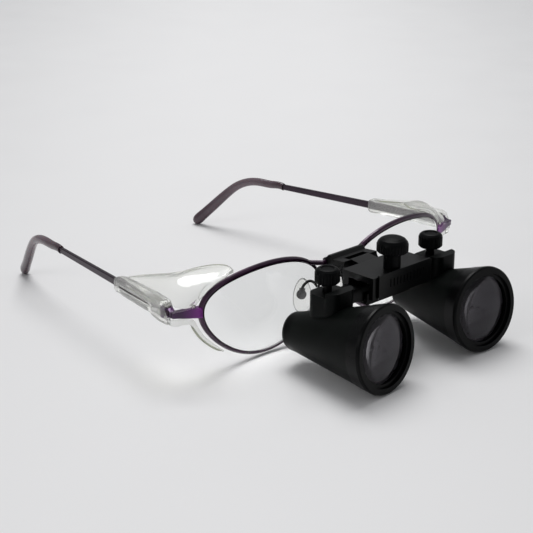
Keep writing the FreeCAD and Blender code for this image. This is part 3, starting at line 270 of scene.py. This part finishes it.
# ---------------------------------------------------------------- clear things
def clear(name, tint, ior, rough, lamp=(0.93, 0.93, 0.93), haze=0.0, haze_colour=(0.8, 0.8, 0.78), ripple=None, spec_tint=None, coat=0.0):
    """Clear glass or plastic that lets the lamps through, so that it throws only a faint shadow."""
    m = Mat(name)
    smear = m.noise(55.0, 3.0, 0.55, distortion=0.8)
    kw = dict(Base_Color=tint, IOR=ior, Transmission_Weight=1.0, Coat_Weight=coat, Coat_Roughness=0.03,
              Roughness=m.span(smear, 0.35, 0.75, rough, rough + 0.035))
    if ripple:
        kw["Normal"] = m.bump(m.noise(ripple[0], 2.0), ripple[1], ripple[2])
    if haze:
        kw["Transmission_Weight"] = 1.0 - haze
        kw["Base_Color"] = haze_colour if haze > 0.5 else tint
    if spec_tint:
        kw["Specular_Tint"] = spec_tint
    p = m.principled(surface=False, **kw)
    lp = m.new("ShaderNodeLightPath")
    tr = m.new("ShaderNodeBsdfTransparent")
    tr.inputs["Color"].default_value = tuple(lamp) + (1,)
    mx = m.new("ShaderNodeMixShader")
    m.link(lp.outputs["Is Shadow Ray"], mx.inputs[0])
    m.link(p.outputs[0], mx.inputs[1])
    m.link(tr.outputs[0], mx.inputs[2])
    m.link(mx.outputs[0], m.out.inputs["Surface"])
    return m.m


MATS["spectacle_lens"] = clear("clear_lens", (0.975, 0.985, 0.98), 1.50, 0.0)
MATS["silicone"] = clear("silicone", (0.95, 0.95, 0.93), 1.38, 0.10, lamp=(0.9, 0.9, 0.9))
MATS["optical_glass"] = clear("optical_glass", (0.90, 0.88, 0.92), 1.34, 0.0, spec_tint=(0.90, 0.84, 0.95))


def shield_plastic(name, stops, milk, rough, cloud_tint, ior=1.17):
    """Soft, slightly cloudy clear plastic: yellow-green where the eye looks along it, milky elsewhere."""
    m = Mat(name)
    cloud = m.noise(90.0, 4.0, 0.6, distortion=0.7)
    lw = m.new("ShaderNodeLayerWeight")
    lw.inputs["Blend"].default_value = 0.35
    edge = m.ramp(lw.outputs["Facing"], stops)
    colour = m.mix(m.span(cloud, 0.3, 0.7, 0.0, 0.30), edge, cloud_tint)
    p = m.principled(surface=False, Base_Color=colour, IOR=ior, Transmission_Weight=1.0 - milk,
                     Roughness=m.span(cloud, 0.3, 0.7, rough, rough + 0.10), Normal=m.bump(m.noise(240.0, 2.0), 0.10, 0.0004),
                     Coat_Weight=0.7, Coat_Roughness=0.04)
    lp = m.new("ShaderNodeLightPath")
    tr = m.new("ShaderNodeBsdfTransparent")
    tr.inputs["Color"].default_value = (0.88, 0.88, 0.86, 1)
    mx = m.new("ShaderNodeMixShader")
    m.link(lp.outputs["Is Shadow Ray"], mx.inputs[0])
    m.link(p.outputs[0], mx.inputs[1])
    m.link(tr.outputs[0], mx.inputs[2])
    m.link(mx.outputs[0], m.out.inputs["Surface"])
    return m.m


MATS["clear_plastic"] = shield_plastic("clear_shield", [(0.0, (0.985, 0.99, 0.975)), (0.6, (0.96, 0.965, 0.93)), (0.9, (0.87, 0.885, 0.80)), (1.0, (0.74, 0.76, 0.64))], 0.17, 0.05, (0.98, 0.985, 0.965))
MATS["shield_edge"] = shield_plastic("shield_rolled_edge_and_seam_shade", [(0.0, (0.62, 0.64, 0.52)), (0.6, (0.40, 0.42, 0.33)), (1.0, (0.20, 0.21, 0.16))], 0.45, 0.18, (0.45, 0.47, 0.40), 1.35)


def tip_plastic():
    """Translucent mauve sleeve with faint streaks, paler round the bend than at its end."""
    m = Mat("tip_mauve")
    streak = m.noise(60.0, 3.0, 0.6, distortion=1.5)
    v = m.xyz(m.tc.outputs["Object"])
    pale = m.math("MULTIPLY", m.span(v[1], 0.046, 0.060, 0.0, 1.0), m.span(v[2], 0.006, 0.022, 0.0, 1.0))
    colour = m.mix(m.span(streak, 0.35, 0.7, 0.0, 1.0), (0.050, 0.028, 0.040), (0.090, 0.058, 0.074))
    colour = m.mix(m.math("MULTIPLY", pale, 0.75), colour, (0.17, 0.125, 0.145))
    m.principled(Base_Color=colour, Roughness=m.span(streak, 0.3, 0.7, 0.12, 0.22), Subsurface_Weight=0.12, Subsurface_Scale=0.002,
                 Coat_Weight=0.35, Coat_Roughness=0.06, IOR=1.5, Specular_IOR_Level=0.4)
    return m.m


MATS["tip_mauve"] = tip_plastic()

for row in frame["record"]["subparts"]:
    node, slot = row["node"], row["material_slot"]
    ob = NODES[node]
    key = slot
    for side, s in SIDES:
        if node in ("barrel_shell_" + side,):
            key = "cone_" + side
        if node in ("front_ring_" + side, "eyepiece_ring_" + side):
            key = "ring_" + side
    if node.startswith(("pad_arm", "pad_shoe")):
        key = "dark_wire"
    if node in ("flip_hinge_pin", "clamp_screws", "base_plate_screws", "centre_knob_stud"):
        key = "dark_pin"
    ob.data.materials.clear()
    ob.data.materials.append(MATS[key])


# ---------------------------------------------------------------- pieces made here
MM = 0.001


def obj_from(name, bm, mat, smooth=True):
    me = bpy.data.meshes.new(name)
    bmesh.ops.recalc_face_normals(bm, faces=bm.faces[:])
    bm.to_mesh(me)
    bm.free()
    if smooth:
        me.polygons.foreach_set("use_smooth", [True] * len(me.polygons))
    ob = bpy.data.objects.new(name, me)
    bpy.context.scene.collection.objects.link(ob)
    me.materials.append(mat)
    return ob


def spline(pts, n):
    """Catmull-Rom through the points, n samples, evenly spaced by length."""
    pts = [Vector(p) for p in pts]
    p = [pts[0] * 2 - pts[1]] + pts + [pts[-1] * 2 - pts[-2]]
    fine = []
    for i in range(1, len(p) - 2):
        for k in range(16):
            t = k / 16
            fine.append(0.5 * ((2 * p[i]) + (p[i + 1] - p[i - 1]) * t + (2 * p[i - 1] - 5 * p[i] + 4 * p[i + 1] - p[i + 2]) * t * t
                               + (3 * p[i] - p[i - 1] - 3 * p[i + 1] + p[i + 2]) * t ** 3))
    fine.append(pts[-1])
    cum = [0.0]
    for i in range(1, len(fine)):
        cum.append(cum[-1] + (fine[i] - fine[i - 1]).length)
    out, j = [], 0
    for k in range(n):
        want = cum[-1] * k / (n - 1)
        while j < len(cum) - 2 and cum[j + 1] < want:
            j += 1
        span = cum[j + 1] - cum[j]
        out.append(fine[j].lerp(fine[j + 1], 0 if span == 0 else min(1.0, (want - cum[j]) / span)))
    return out


def loft(bm, rings, caps=True):
    """Joins closed rings of equal count into a closed skin."""
    rows = [[bm.verts.new(p * MM) for p in ring] for ring in rings]
    n = len(rows[0])
    for a, b in zip(rows, rows[1:]):
        for i in range(n):
            bm.faces.new((a[i], a[(i + 1) % n], b[(i + 1) % n], b[i]))
    if caps:
        bm.faces.new(rows[0][::-1])
        bm.faces.new(rows[-1])
    return rows


def rounded(centre, ax, ay, w, h, r, n=4):
    """A rounded rectangle's points about a centre: half sizes w, h along ax, ay."""
    r = min(r, w * 0.98, h * 0.98)
    out = []
    for cx, cy, a0 in ((w - r, h - r, 0), (-(w - r), h - r, 90), (-(w - r), -(h - r), 180), (w - r, -(h - r), 270)):
        for k in range(n + 1):
            a = math.radians(a0 + 90 * k / n)
            out.append(centre + ax * (cx + r * math.cos(a)) + ay * (cy + r * math.sin(a)))
    return out


for row in frame["record"]["subparts"]:
    if row["material_slot"] in ("mount_black", "barrel_black") and "screw" not in row["node"] and "pin" not in row["node"]:
        ob = NODES[row["node"]]
        if row["node"].startswith(("barrel_shell",)):
            continue
        w = ob.modifiers.new("eased_edges", "BEVEL")
        w.width, w.segments, w.limit_method, w.angle_limit = 0.00018, 2, "ANGLE", math.radians(42)
        w.harden_normals = False

for side, s in SIDES:
    d = NODES["temple_tip_" + side].modifiers.new("fuller", "DISPLACE")
    d.strength, d.mid_level = 0.00018, 0.0

# the eyewire's centre line round the outer corner, for the right side (x is mirrored for the left)
RIMPATH = [(-48.51, 3.74, 6.88), (-51.08, 3.86, 8.73), (-53.49, 3.98, 10.80), (-55.69, 4.10, 13.07), (-57.64, 4.21, 15.57),
           (-59.22, 4.28, 18.28), (-60.24, 4.24, 21.19), (-60.38, 4.04, 24.16), (-59.45, 3.62, 26.90), (-57.57, 3.04, 29.17),
           (-55.07, 2.39, 30.89), (-52.25, 1.76, 32.17), (-49.27, 1.17, 33.12), (-46.21, 0.65, 33.83), (-43.10, 0.21, 34.36)]
RIMOUT = [(-0.525, 0.276, -0.805), (-0.592, 0.279, -0.756), (-0.658, 0.282, -0.698), (-0.724, 0.286, -0.627), (-0.796, 0.290, -0.532),
          (-0.873, 0.292, -0.390), (-0.943, 0.289, -0.164), (-0.951, 0.265, 0.160), (-0.839, 0.213, 0.500), (-0.654, 0.155, 0.740),
          (-0.483, 0.109, 0.869), (-0.357, 0.080, 0.931), (-0.267, 0.062, 0.962), (-0.200, 0.050, 0.979), (-0.145, 0.042, 0.989)]


def side_shield(side, s):
    def place(x, y, z):
        return Vector((-s * x, y + YS * 1000, z))

    def rim(i, off, dy=0.0):
        p, d = Vector(RIMPATH[i]), Vector(RIMOUT[i])
        q = p + d * off
        return place(q.x, q.y + dy, q.z)
    base = Vector((s * 70.66, 6.26 + YS * 1000, 0))
    back = Vector((-s * 0.16244, 0.98672, 0))
    out = Vector((s * 0.98672, 0.16244, 0))
    Z = Vector((0, 0, 1))

    def arm(d, o, z):
        return base + back * d + out * o + Z * z
    bm = bmesh.new()
    # the sleeve that slips over the temple, a little fuller at its two ends
    rings = []
    for d, w, h, cz, co in ((36.4, 1.40, 2.0, 24.0, 0.1), (36.1, 1.85, 2.5, 24.05, 0.1), (35.0, 2.1, 2.85, 24.15, 0.1), (30, 2.0, 3.0, 24.4, 0.1), (20, 2.0, 3.2, 24.7, 0.1),
                            (11, 2.05, 3.4, 24.85, 0.1), (7.0, 2.2, 3.4, 24.75, 0.15), (4.6, 2.3, 3.4, 24.6, 0.25), (3.2, 2.1, 3.1, 24.4, 0.35), (2.6, 1.6, 2.6, 24.2, 0.45)):
        rings.append(rounded(arm(d, co, cz), out, Z, w, h, 1.25))
    loft(bm, rings)
    # two ribs along the outer wall
    for z0, d0, d1 in ((27.0, 9.0, 27.0), (22.4, 9.5, 33.5)):
        rings = []
        for k in range(7):
            t = k / 6
            fade = max(0.25, min(1.0, 6 * t, 6 * (1 - t)))
            rings.append(rounded(arm(d0 + (d1 - d0) * t, 2.05, z0), out, Z, 0.38 * fade, 0.62 * fade, 0.36 * fade))
        loft(bm, rings)
    # panel between sleeve, eyewire and free top edge
    N, M = 30, 14
    bottom = spline([rim(7, 1.9, 0.9) + Vector((0, 0, 0.9)), arm(-0.4, -4.6, 25.4), arm(1.6, -1.5, 26.1), arm(6.0, -0.4, 27.3), arm(12, -0.2, 27.6), arm(22, -0.2, 27.2), arm(30, -0.2, 26.8), arm(35.4, -0.1, 26.2)], N)
    top = spline([place(*p) for p in ((-47.6, 1.9, 35.0), (-46.7, 4.3, 35.2), (-47.0, 7.2, 35.3), (-49.2, 10.8, 34.9), (-53.2, 14.2, 34.0), (-56.9, 19.8, 31.7), (-60.2, 29.5, 29.2), (-61.8, 35.0, 27.8), (-63.4, 37.8, 26.9))], N)
    front = spline([bottom[0]] + [rim(i, 1.25, 0.6) for i in (8, 9, 10, 11)] + [top[0]], M)
    rear = spline([bottom[-1], (bottom[-1] + top[-1]) / 2 + Vector((0, 0.3, 0.1)), top[-1]], M)
    grid = []
    for i in range(N):
        u = i / (N - 1)
        row = []
        for j in range(M):
            v = j / (M - 1)
            p = bottom[i] * (1 - v) + top[i] * v + front[j] * (1 - u) + rear[j] * u
            p -= bottom[0] * (1 - u) * (1 - v) + bottom[-1] * u * (1 - v) + top[0] * (1 - u) * v + top[-1] * u * v
            swell = 1.5 * math.sin(math.pi * min(1.0, u * 1.05)) * math.sin(math.pi * v) * (1 - u * 0.6)
            row.append(p + out * swell + Z * swell * 0.5)
        grid.append(row)
    normals = []
    for i in range(N):
        line = []
        for j in range(M):
            a = grid[min(i + 1, N - 1)][j] - grid[max(i - 1, 0)][j]
            b = grid[i][min(j + 1, M - 1)] - grid[i][max(j - 1, 0)]
            line.append(a.cross(b).normalized())
        normals.append(line)
    def thick(i, j):
        rim_side = max(0.0, 1 - i / 2.5)
        edge = max(0.0, 1 - (M - 1 - j) / 1.6)
        return 0.34 + 0.30 * rim_side + 0.16 * edge
    fa = [[bm.verts.new((grid[i][j] + normals[i][j] * thick(i, j)) * MM) for j in range(M)] for i in range(N)]
    fb = [[bm.verts.new((grid[i][j] - normals[i][j] * thick(i, j)) * MM) for j in range(M)] for i in range(N)]
    for i in range(N - 1):
        for j in range(M - 1):
            bm.faces.new((fa[i][j], fa[i + 1][j], fa[i + 1][j + 1], fa[i][j + 1]))
            bm.faces.new((fb[i][j], fb[i][j + 1], fb[i + 1][j + 1], fb[i + 1][j]))
    border = [(i, 0) for i in range(N)] + [(N - 1, j) for j in range(1, M)] + [(i, M - 1) for i in range(N - 2, -1, -1)] + [(0, j) for j in range(M - 2, 0, -1)]
    for (i0, j0), (i1, j1) in zip(border, border[1:] + border[:1]):
        bm.faces.new((fa[i0][j0], fb[i0][j0], fb[i1][j1], fa[i1][j1]))
    # lip along the top of the eyewire
    path = spline([rim(i, 1.05, 1.1) for i in (8, 9, 10, 11)] + [rim(12, 1.3, 1.0)], 20)
    rings = []
    for k, p in enumerate(path):
        t = k / 19
        tan = (path[min(k + 1, 19)] - path[max(k - 1, 0)]).normalized()
        ya = Vector((0, 1, 0))
        za = tan.cross(ya).normalized()
        f = min(1.0, 0.45 + 4 * t, 0.45 + 4 * (1 - t))
        rings.append(rounded(p, ya, za, 1.15 * f, 0.50 * f, 0.45 * f))
    loft(bm, rings)
    # lower strip: under the hinge, round the corner, then down along the eyewire
    low = [arm(14.0, 0.3, 22.0), arm(9.0, 0.4, 21.9), arm(4.5, 0.6, 21.6), arm(1.4, 0.5, 21.25), place(-69.4, 5.9, 21.0), place(-66.6, 5.6, 20.9), place(-63.6, 5.2, 20.0)]
    low += [rim(i, o, 0.8) for i, o in ((5, 2.5), (4, 2.35), (3, 2.15), (2, 1.95), (1, 1.8), (0, 1.7))]
    path = spline(low, 46)
    path_low = []
    rings = []
    for k, p in enumerate(path):
        t = k / 45
        tan = (path[min(k + 1, 45)] - path[max(k - 1, 0)]).normalized()
        ya = Vector((0, 1, 0)) if t > 0.42 else out
        ya = (out * max(0.0, 1 - t / 0.42) + Vector((0, 1, 0)) * min(1.0, t / 0.42)).normalized()
        ya = (ya - tan * ya.dot(tan)).normalized()
        za = tan.cross(ya).normalized()
        f = min(1.0, 0.5 + 5 * (1 - t))
        wide = (1.25 if t < 0.45 else 1.25 - (t - 0.45) * 1.1) * f
        thin = (0.62 if t > 0.42 else 1.45 - t * 1.97) * f
        rings.append(rounded(p, ya, za, thin, wide * 0.9, min(thin, wide) * 0.85))
        if t > 0.50:
            away = za if za.z < 0 else -za
            path_low.append(p + away * (wide * 0.9 - 0.10))
    loft(bm, rings)
    # fuller nose where sleeve, panel and strip meet behind the hinge
    rings = []
    for d, w, h, cz, o in ((12.0, 0.9, 2.6, 24.9, 2.0), (9.0, 1.0, 3.2, 24.7, 2.15), (6.0, 0.95, 3.3, 24.5, 2.35), (4.0, 0.9, 3.3, 24.4, 2.45), (2.4, 0.8, 2.9, 24.1, 2.4), (1.3, 0.65, 1.9, 22.9, 2.2), (0.3, 0.5, 1.0, 21.8, 1.7)):
        rings.append(rounded(arm(d, o, cz), out, Z, w * 0.75, h, w * 0.7))
    loft(bm, rings)
    ob = obj_from("shield_moulding_" + side, bm, MATS["clear_plastic"])
    # one skin, softened, then opened for the temple
    rm = ob.modifiers.new("one_skin", "REMESH")
    rm.mode, rm.voxel_size, rm.use_smooth_shade = "VOXEL", 0.00024, True
    sm = ob.modifiers.new("soften", "SMOOTH")
    sm.factor, sm.iterations = 0.5, 5
    bc = bmesh.new()
    rings = [rounded(arm(d, 0.0, 24.5), out, Z, 1.05, 2.0, 0.4) for d in (2.0, 20.0, 40.0)]
    loft(bc, rings)
    cutters = [obj_from("temple_room_" + side, bc, MATS["clear_plastic"], False)]
    bc = bmesh.new()
    rings = [rounded(arm(d, 2.4, z), out, Z, 2.2, h, 0.3) for d, z, h in ((9.5, 24.3, 0.25), (10.3, 24.3, 0.62), (24, 24.1, 0.62), (33.4, 23.9, 0.85), (34.4, 23.9, 0.5))]
    loft(bc, rings)
    cutters.append(obj_from("temple_window_" + side, bc, MATS["clear_plastic"], False))
    for cutter in cutters:
        bo = ob.modifiers.new("opening", "BOOLEAN")
        bo.operation, bo.solver, bo.object = "DIFFERENCE", "EXACT", cutter
    dec = ob.modifiers.new("lighten", "DECIMATE")
    dec.ratio = 0.45
    dg = bpy.context.evaluated_depsgraph_get()
    me = bpy.data.meshes.new_from_object(ob.evaluated_get(dg), depsgraph=dg)
    ob.modifiers.clear()
    ob.data = me
    me.materials.clear()
    me.materials.append(MATS["clear_plastic"])
    me.polygons.foreach_set("use_smooth", [True] * len(me.polygons))
    for cutter in cutters:
        bpy.data.objects.remove(cutter, do_unlink=True)
    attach(ob, "shield_%s_body" % side)
    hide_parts("side_shield_" + side)
    # rolled edges, and a dark rod along the seam between sleeve and panel that paints the shade of the groove there
    be = bmesh.new()
    strip_edge = [p + (Vector((0, 0, 0))) for p in path_low]
    lines = [([grid[i][M - 1] + Z * 0.10 for i in range(0, N)], 0.30, 0.26),
             (strip_edge, 0.42, 0.40),
             # painted shade: a dark rod standing for the shaded groove where sleeve and panel meet
             (spline([arm(9.0, 2.1, 26.35), arm(18.0, 2.05, 26.3), arm(26.5, 1.98, 26.2)], 14), 0.20, 0.26)]
    for pts, r0, r1 in lines:
        rings = []
        K = len(pts)
        for k, p in enumerate(pts):
            t = k / (K - 1)
            tan = (pts[min(k + 1, K - 1)] - pts[max(k - 1, 0)]).normalized()
            xa = tan.cross(Vector((0.3, 0.9, 0.2))).normalized()
            ya = tan.cross(xa).normalized()
            r = (r0 * (1 - t) + r1 * t) * max(0.25, min(1.0, 8 * t, 8 * (1 - t)))
            rings.append([p + xa * (r * math.cos(q * math.pi / 5)) + ya * (r * math.sin(q * math.pi / 5)) for q in range(10)])
        loft(be, rings)
    eo = obj_from("shield_edges_and_seam_shade_" + side, be, MATS["shield_edge"])
    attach(eo, "shield_%s_body" % side)
    return ob


for side, s in SIDES:
    side_shield(side, s)


def end_piece(side, s):
    """The lug, tapered towards its corner and rounded over."""
    src = NODES["end_piece_" + side].data
    bm = bmesh.new()
    bm.from_mesh(src)
    bmesh.ops.remove_doubles(bm, verts=bm.verts[:], dist=1e-6)
    bmesh.ops.dissolve_limit(bm, angle_limit=math.radians(2), verts=bm.verts[:], edges=bm.edges[:])
    bmesh.ops.triangulate(bm, faces=bm.faces[:])
    for _ in range(3):
        long = [e for e in bm.edges if e.calc_length() > 0.0013]
        if long:
            bmesh.ops.subdivide_edges(bm, edges=long, cuts=1)
            bmesh.ops.triangulate(bm, faces=bm.faces[:])
    hinge = Vector((s * 0.0700752, 0.0098122 + YS))
    mid = 0.02433
    for v in bm.verts:
        x = abs(v.co.x)
        t = (x - 0.0604) / (0.0708 - 0.0604)
        t = max(0.0, min(1.0, t))
        f = 1.14 - 0.56 * t ** 1.3
        h = max(0.0, min(1.0, (v.co.y - (0.0072 + YS)) / 0.0012))
        f = f * (1 - h) + 1.0 * h
        v.co.z = mid - (0.0012 * (1 - t) + 0.0002 * t) * (1 - h) + (v.co.z - mid) * f
    ob = obj_from("lug_" + side, bm, MATS["lug_violet"])
    ob.data.shade_smooth() if hasattr(ob.data, "shade_smooth") else None
    w = ob.modifiers.new("round", "BEVEL")
    w.width, w.segments, w.limit_method, w.angle_limit = 0.00035, 3, "ANGLE", math.radians(50)
    w.harden_normals = False
    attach(ob, "front")
    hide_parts("end_piece_" + side)
    return ob


for side, s in SIDES:
    end_piece(side, s)


def nose_pad(side, s):
    """Clear teardrop pad, its wire arm and the round box that holds it."""
    c = Vector((s * 11.4, 6.2 + YS * 1000, 16.3))
    facing = Vector((-s * 0.80, 0.58, -0.12)).normalized()
    up = (Vector((0, 0, 1)) - facing * facing.z).normalized()
    acr = up.cross(facing)
    # pad
    bm = bmesh.new()
    rings = []
    n, K = 40, 9
    for k in range(K):
        t = k / (K - 1)
        a = math.pi * t
        depth = 1.75 - 0.0 + (-math.cos(a)) * (0.75 if t < 0.5 else 1.15)
        grow = max(0.02, math.sin(a)) ** 0.55
        ring = []
        for i in range(n):
            q = 2 * math.pi * i / n
            ex, ey = math.cos(q), math.sin(q)
            wide = 3.35 * (1.0 - 0.16 * ey)
            ring.append(c + facing * (depth + 0.1) + acr * (ex * wide * grow) + up * ((ey * 6.6 * grow) - 1.3) + facing * (-0.018 * (ey * 6.6) ** 2 * 0.25))
        rings.append(ring)
    loft(bm, rings)
    pad = obj_from("pad_%s_silicone" % side, bm, MATS["silicone"])
    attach(pad, "pad_%s_body" % side)
    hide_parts("nose_pad_" + side)
    # arm: one smooth bent wire ending in the round box
    bm = bmesh.new()
    pts = spline([Vector((s * 8.75, 1.25 + YS * 1000, 19.6)), Vector((s * 8.9, 3.2 + YS * 1000, 20.9)), Vector((s * 9.6, 4.8 + YS * 1000, 20.9)), Vector((s * 11.2, 5.5 + YS * 1000, 19.6)),
                  Vector((s * 12.3, 5.5 + YS * 1000, 17.9)), c - facing * 1.5], 34)
    rings = []
    for k, p in enumerate(pts):
        tan = (pts[min(k + 1, 33)] - pts[max(k - 1, 0)]).normalized()
        xa = tan.cross(Vector((0.2, 0.9, 0.3))).normalized()
        ya = tan.cross(xa).normalized()
        rings.append([p + xa * (0.5 * math.cos(q * math.pi / 5)) + ya * (0.5 * math.sin(q * math.pi / 5)) for q in range(10)])
    loft(bm, rings)
    rings = []
    for dz, r in ((-2.0, 1.0), (-1.93, 1.4), (-1.65, 1.7), (-0.85, 1.75), (-0.55, 1.6), (-0.42, 1.3)):
        rings.append([c + facing * dz + acr * (r * math.cos(q * math.pi / 12)) + up * (r * math.sin(q * math.pi / 12)) for q in range(24)])
    loft(bm, rings)
    wire = obj_from("pad_wire_" + side, bm, MATS["dark_wire"])
    wire.data.shade_smooth() if hasattr(wire.data, "shade_smooth") else None
    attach(wire, "front")
    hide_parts("pad_arm_" + side)
    return pad


for side, s in SIDES:
    nose_pad(side, s)

# ---------------------------------------------------------------- floor, light, camera
bm = bmesh.new()
N, R = 48, 1.8
rows = [[bm.verts.new((-R + 2 * R * j / 8, -R + 2 * R * i / N, 0.0)) for j in range(9)] for i in range(N + 1)]
for i in range(N):
    for j in range(8):
        bm.faces.new((rows[i][j], rows[i][j + 1], rows[i + 1][j + 1], rows[i + 1][j]))
me = bpy.data.meshes.new("floor")
bm.to_mesh(me)
bm.free()
floor = bpy.data.objects.new("floor", me)
bpy.context.scene.collection.objects.link(floor)
floor.location.z = -0.0001
m = Mat("floor_paper_painted_falloff")
n = m.noise(30.0, 3.0)
c = m.xyz(m.tc.outputs["Object"])
# painted shade: the paper colour falls from 0.85 in a band through the middle to 0.68 towards the sides, a painted
# falloff of the light
across = m.math("ABSOLUTE", m.math("ADD", m.math("MULTIPLY", c[0], 0.7192), m.math("MULTIPLY", c[1], -0.6948)))
shade = m.new("ShaderNodeMapRange")
shade.interpolation_type = "SMOOTHSTEP"
for key, v in (("From Min", 0.02), ("From Max", 0.26), ("To Min", 0.0), ("To Max", 1.0)):
    shade.inputs[key].default_value = v
m.link(across, shade.inputs["Value"])
paper_and_painted_falloff = m.mix(shade.outputs["Result"], (0.850, 0.847, 0.853), (0.680, 0.680, 0.686))
m.principled(Base_Color=m.mix(m.span(n, 0.3, 0.7, 0.0, 0.10), paper_and_painted_falloff, (0.79, 0.79, 0.79)), Roughness=m.span(n, 0.3, 0.7, 0.55, 0.65), Specular_IOR_Level=0.35)
floor.data.materials.append(m.m)

world = bpy.data.worlds.new("studio")
bpy.context.scene.world = world
world.use_nodes = True
bg = world.node_tree.nodes["Background"]
bg.inputs["Color"].default_value = (0.97, 0.98, 1.0, 1)
bg.inputs["Strength"].default_value = 0.31


def area(name, loc, target, size, power, colour=(1, 1, 1)):
    d = bpy.data.lights.new(name, "AREA")
    d.shape = "RECTANGLE"
    d.size, d.size_y = size
    d.energy = power
    d.color = colour
    o = bpy.data.objects.new(name, d)
    bpy.context.scene.collection.objects.link(o)
    o.location = loc
    o.rotation_euler = (Vector(target) - Vector(loc)).to_track_quat("-Z", "Y").to_euler()
    return o


area("top_box", (0.40, 0.46, 1.55), (0.0, 0.0, 0.0), (1.05, 1.05), 18.5)
area("left_card", (-0.95, 0.05, 0.55), (-0.02, -0.07, 0.02), (0.45, 0.45), 1.2)

cam_data = bpy.data.cameras.new("cam")
cam = bpy.data.objects.new("cam", cam_data)
bpy.context.scene.collection.objects.link(cam)
bpy.context.scene.camera = cam
cam_data.sensor_width = 36.0
cam_data.lens = 1472.828 / 533 * 36.0
cam_data.clip_start, cam_data.clip_end = 0.05, 10
right = Vector((0.7192, -0.6948, 0.0036)).normalized()
back = Vector((-0.6535, -0.6746, 0.3433)).normalized()
up = back.cross(right).normalized()
cam.matrix_world = Matrix.Translation((-0.36025, -0.33674 + YS, 0.20496)) @ Matrix((right, up, back)).transposed().to_4x4()
bpy.context.scene.view_settings.view_transform = "Standard"
bpy.context.scene.cycles.max_bounces = 14
bpy.context.scene.cycles.transmission_bounces = 12
bpy.context.scene.cycles.transparent_max_bounces = 16
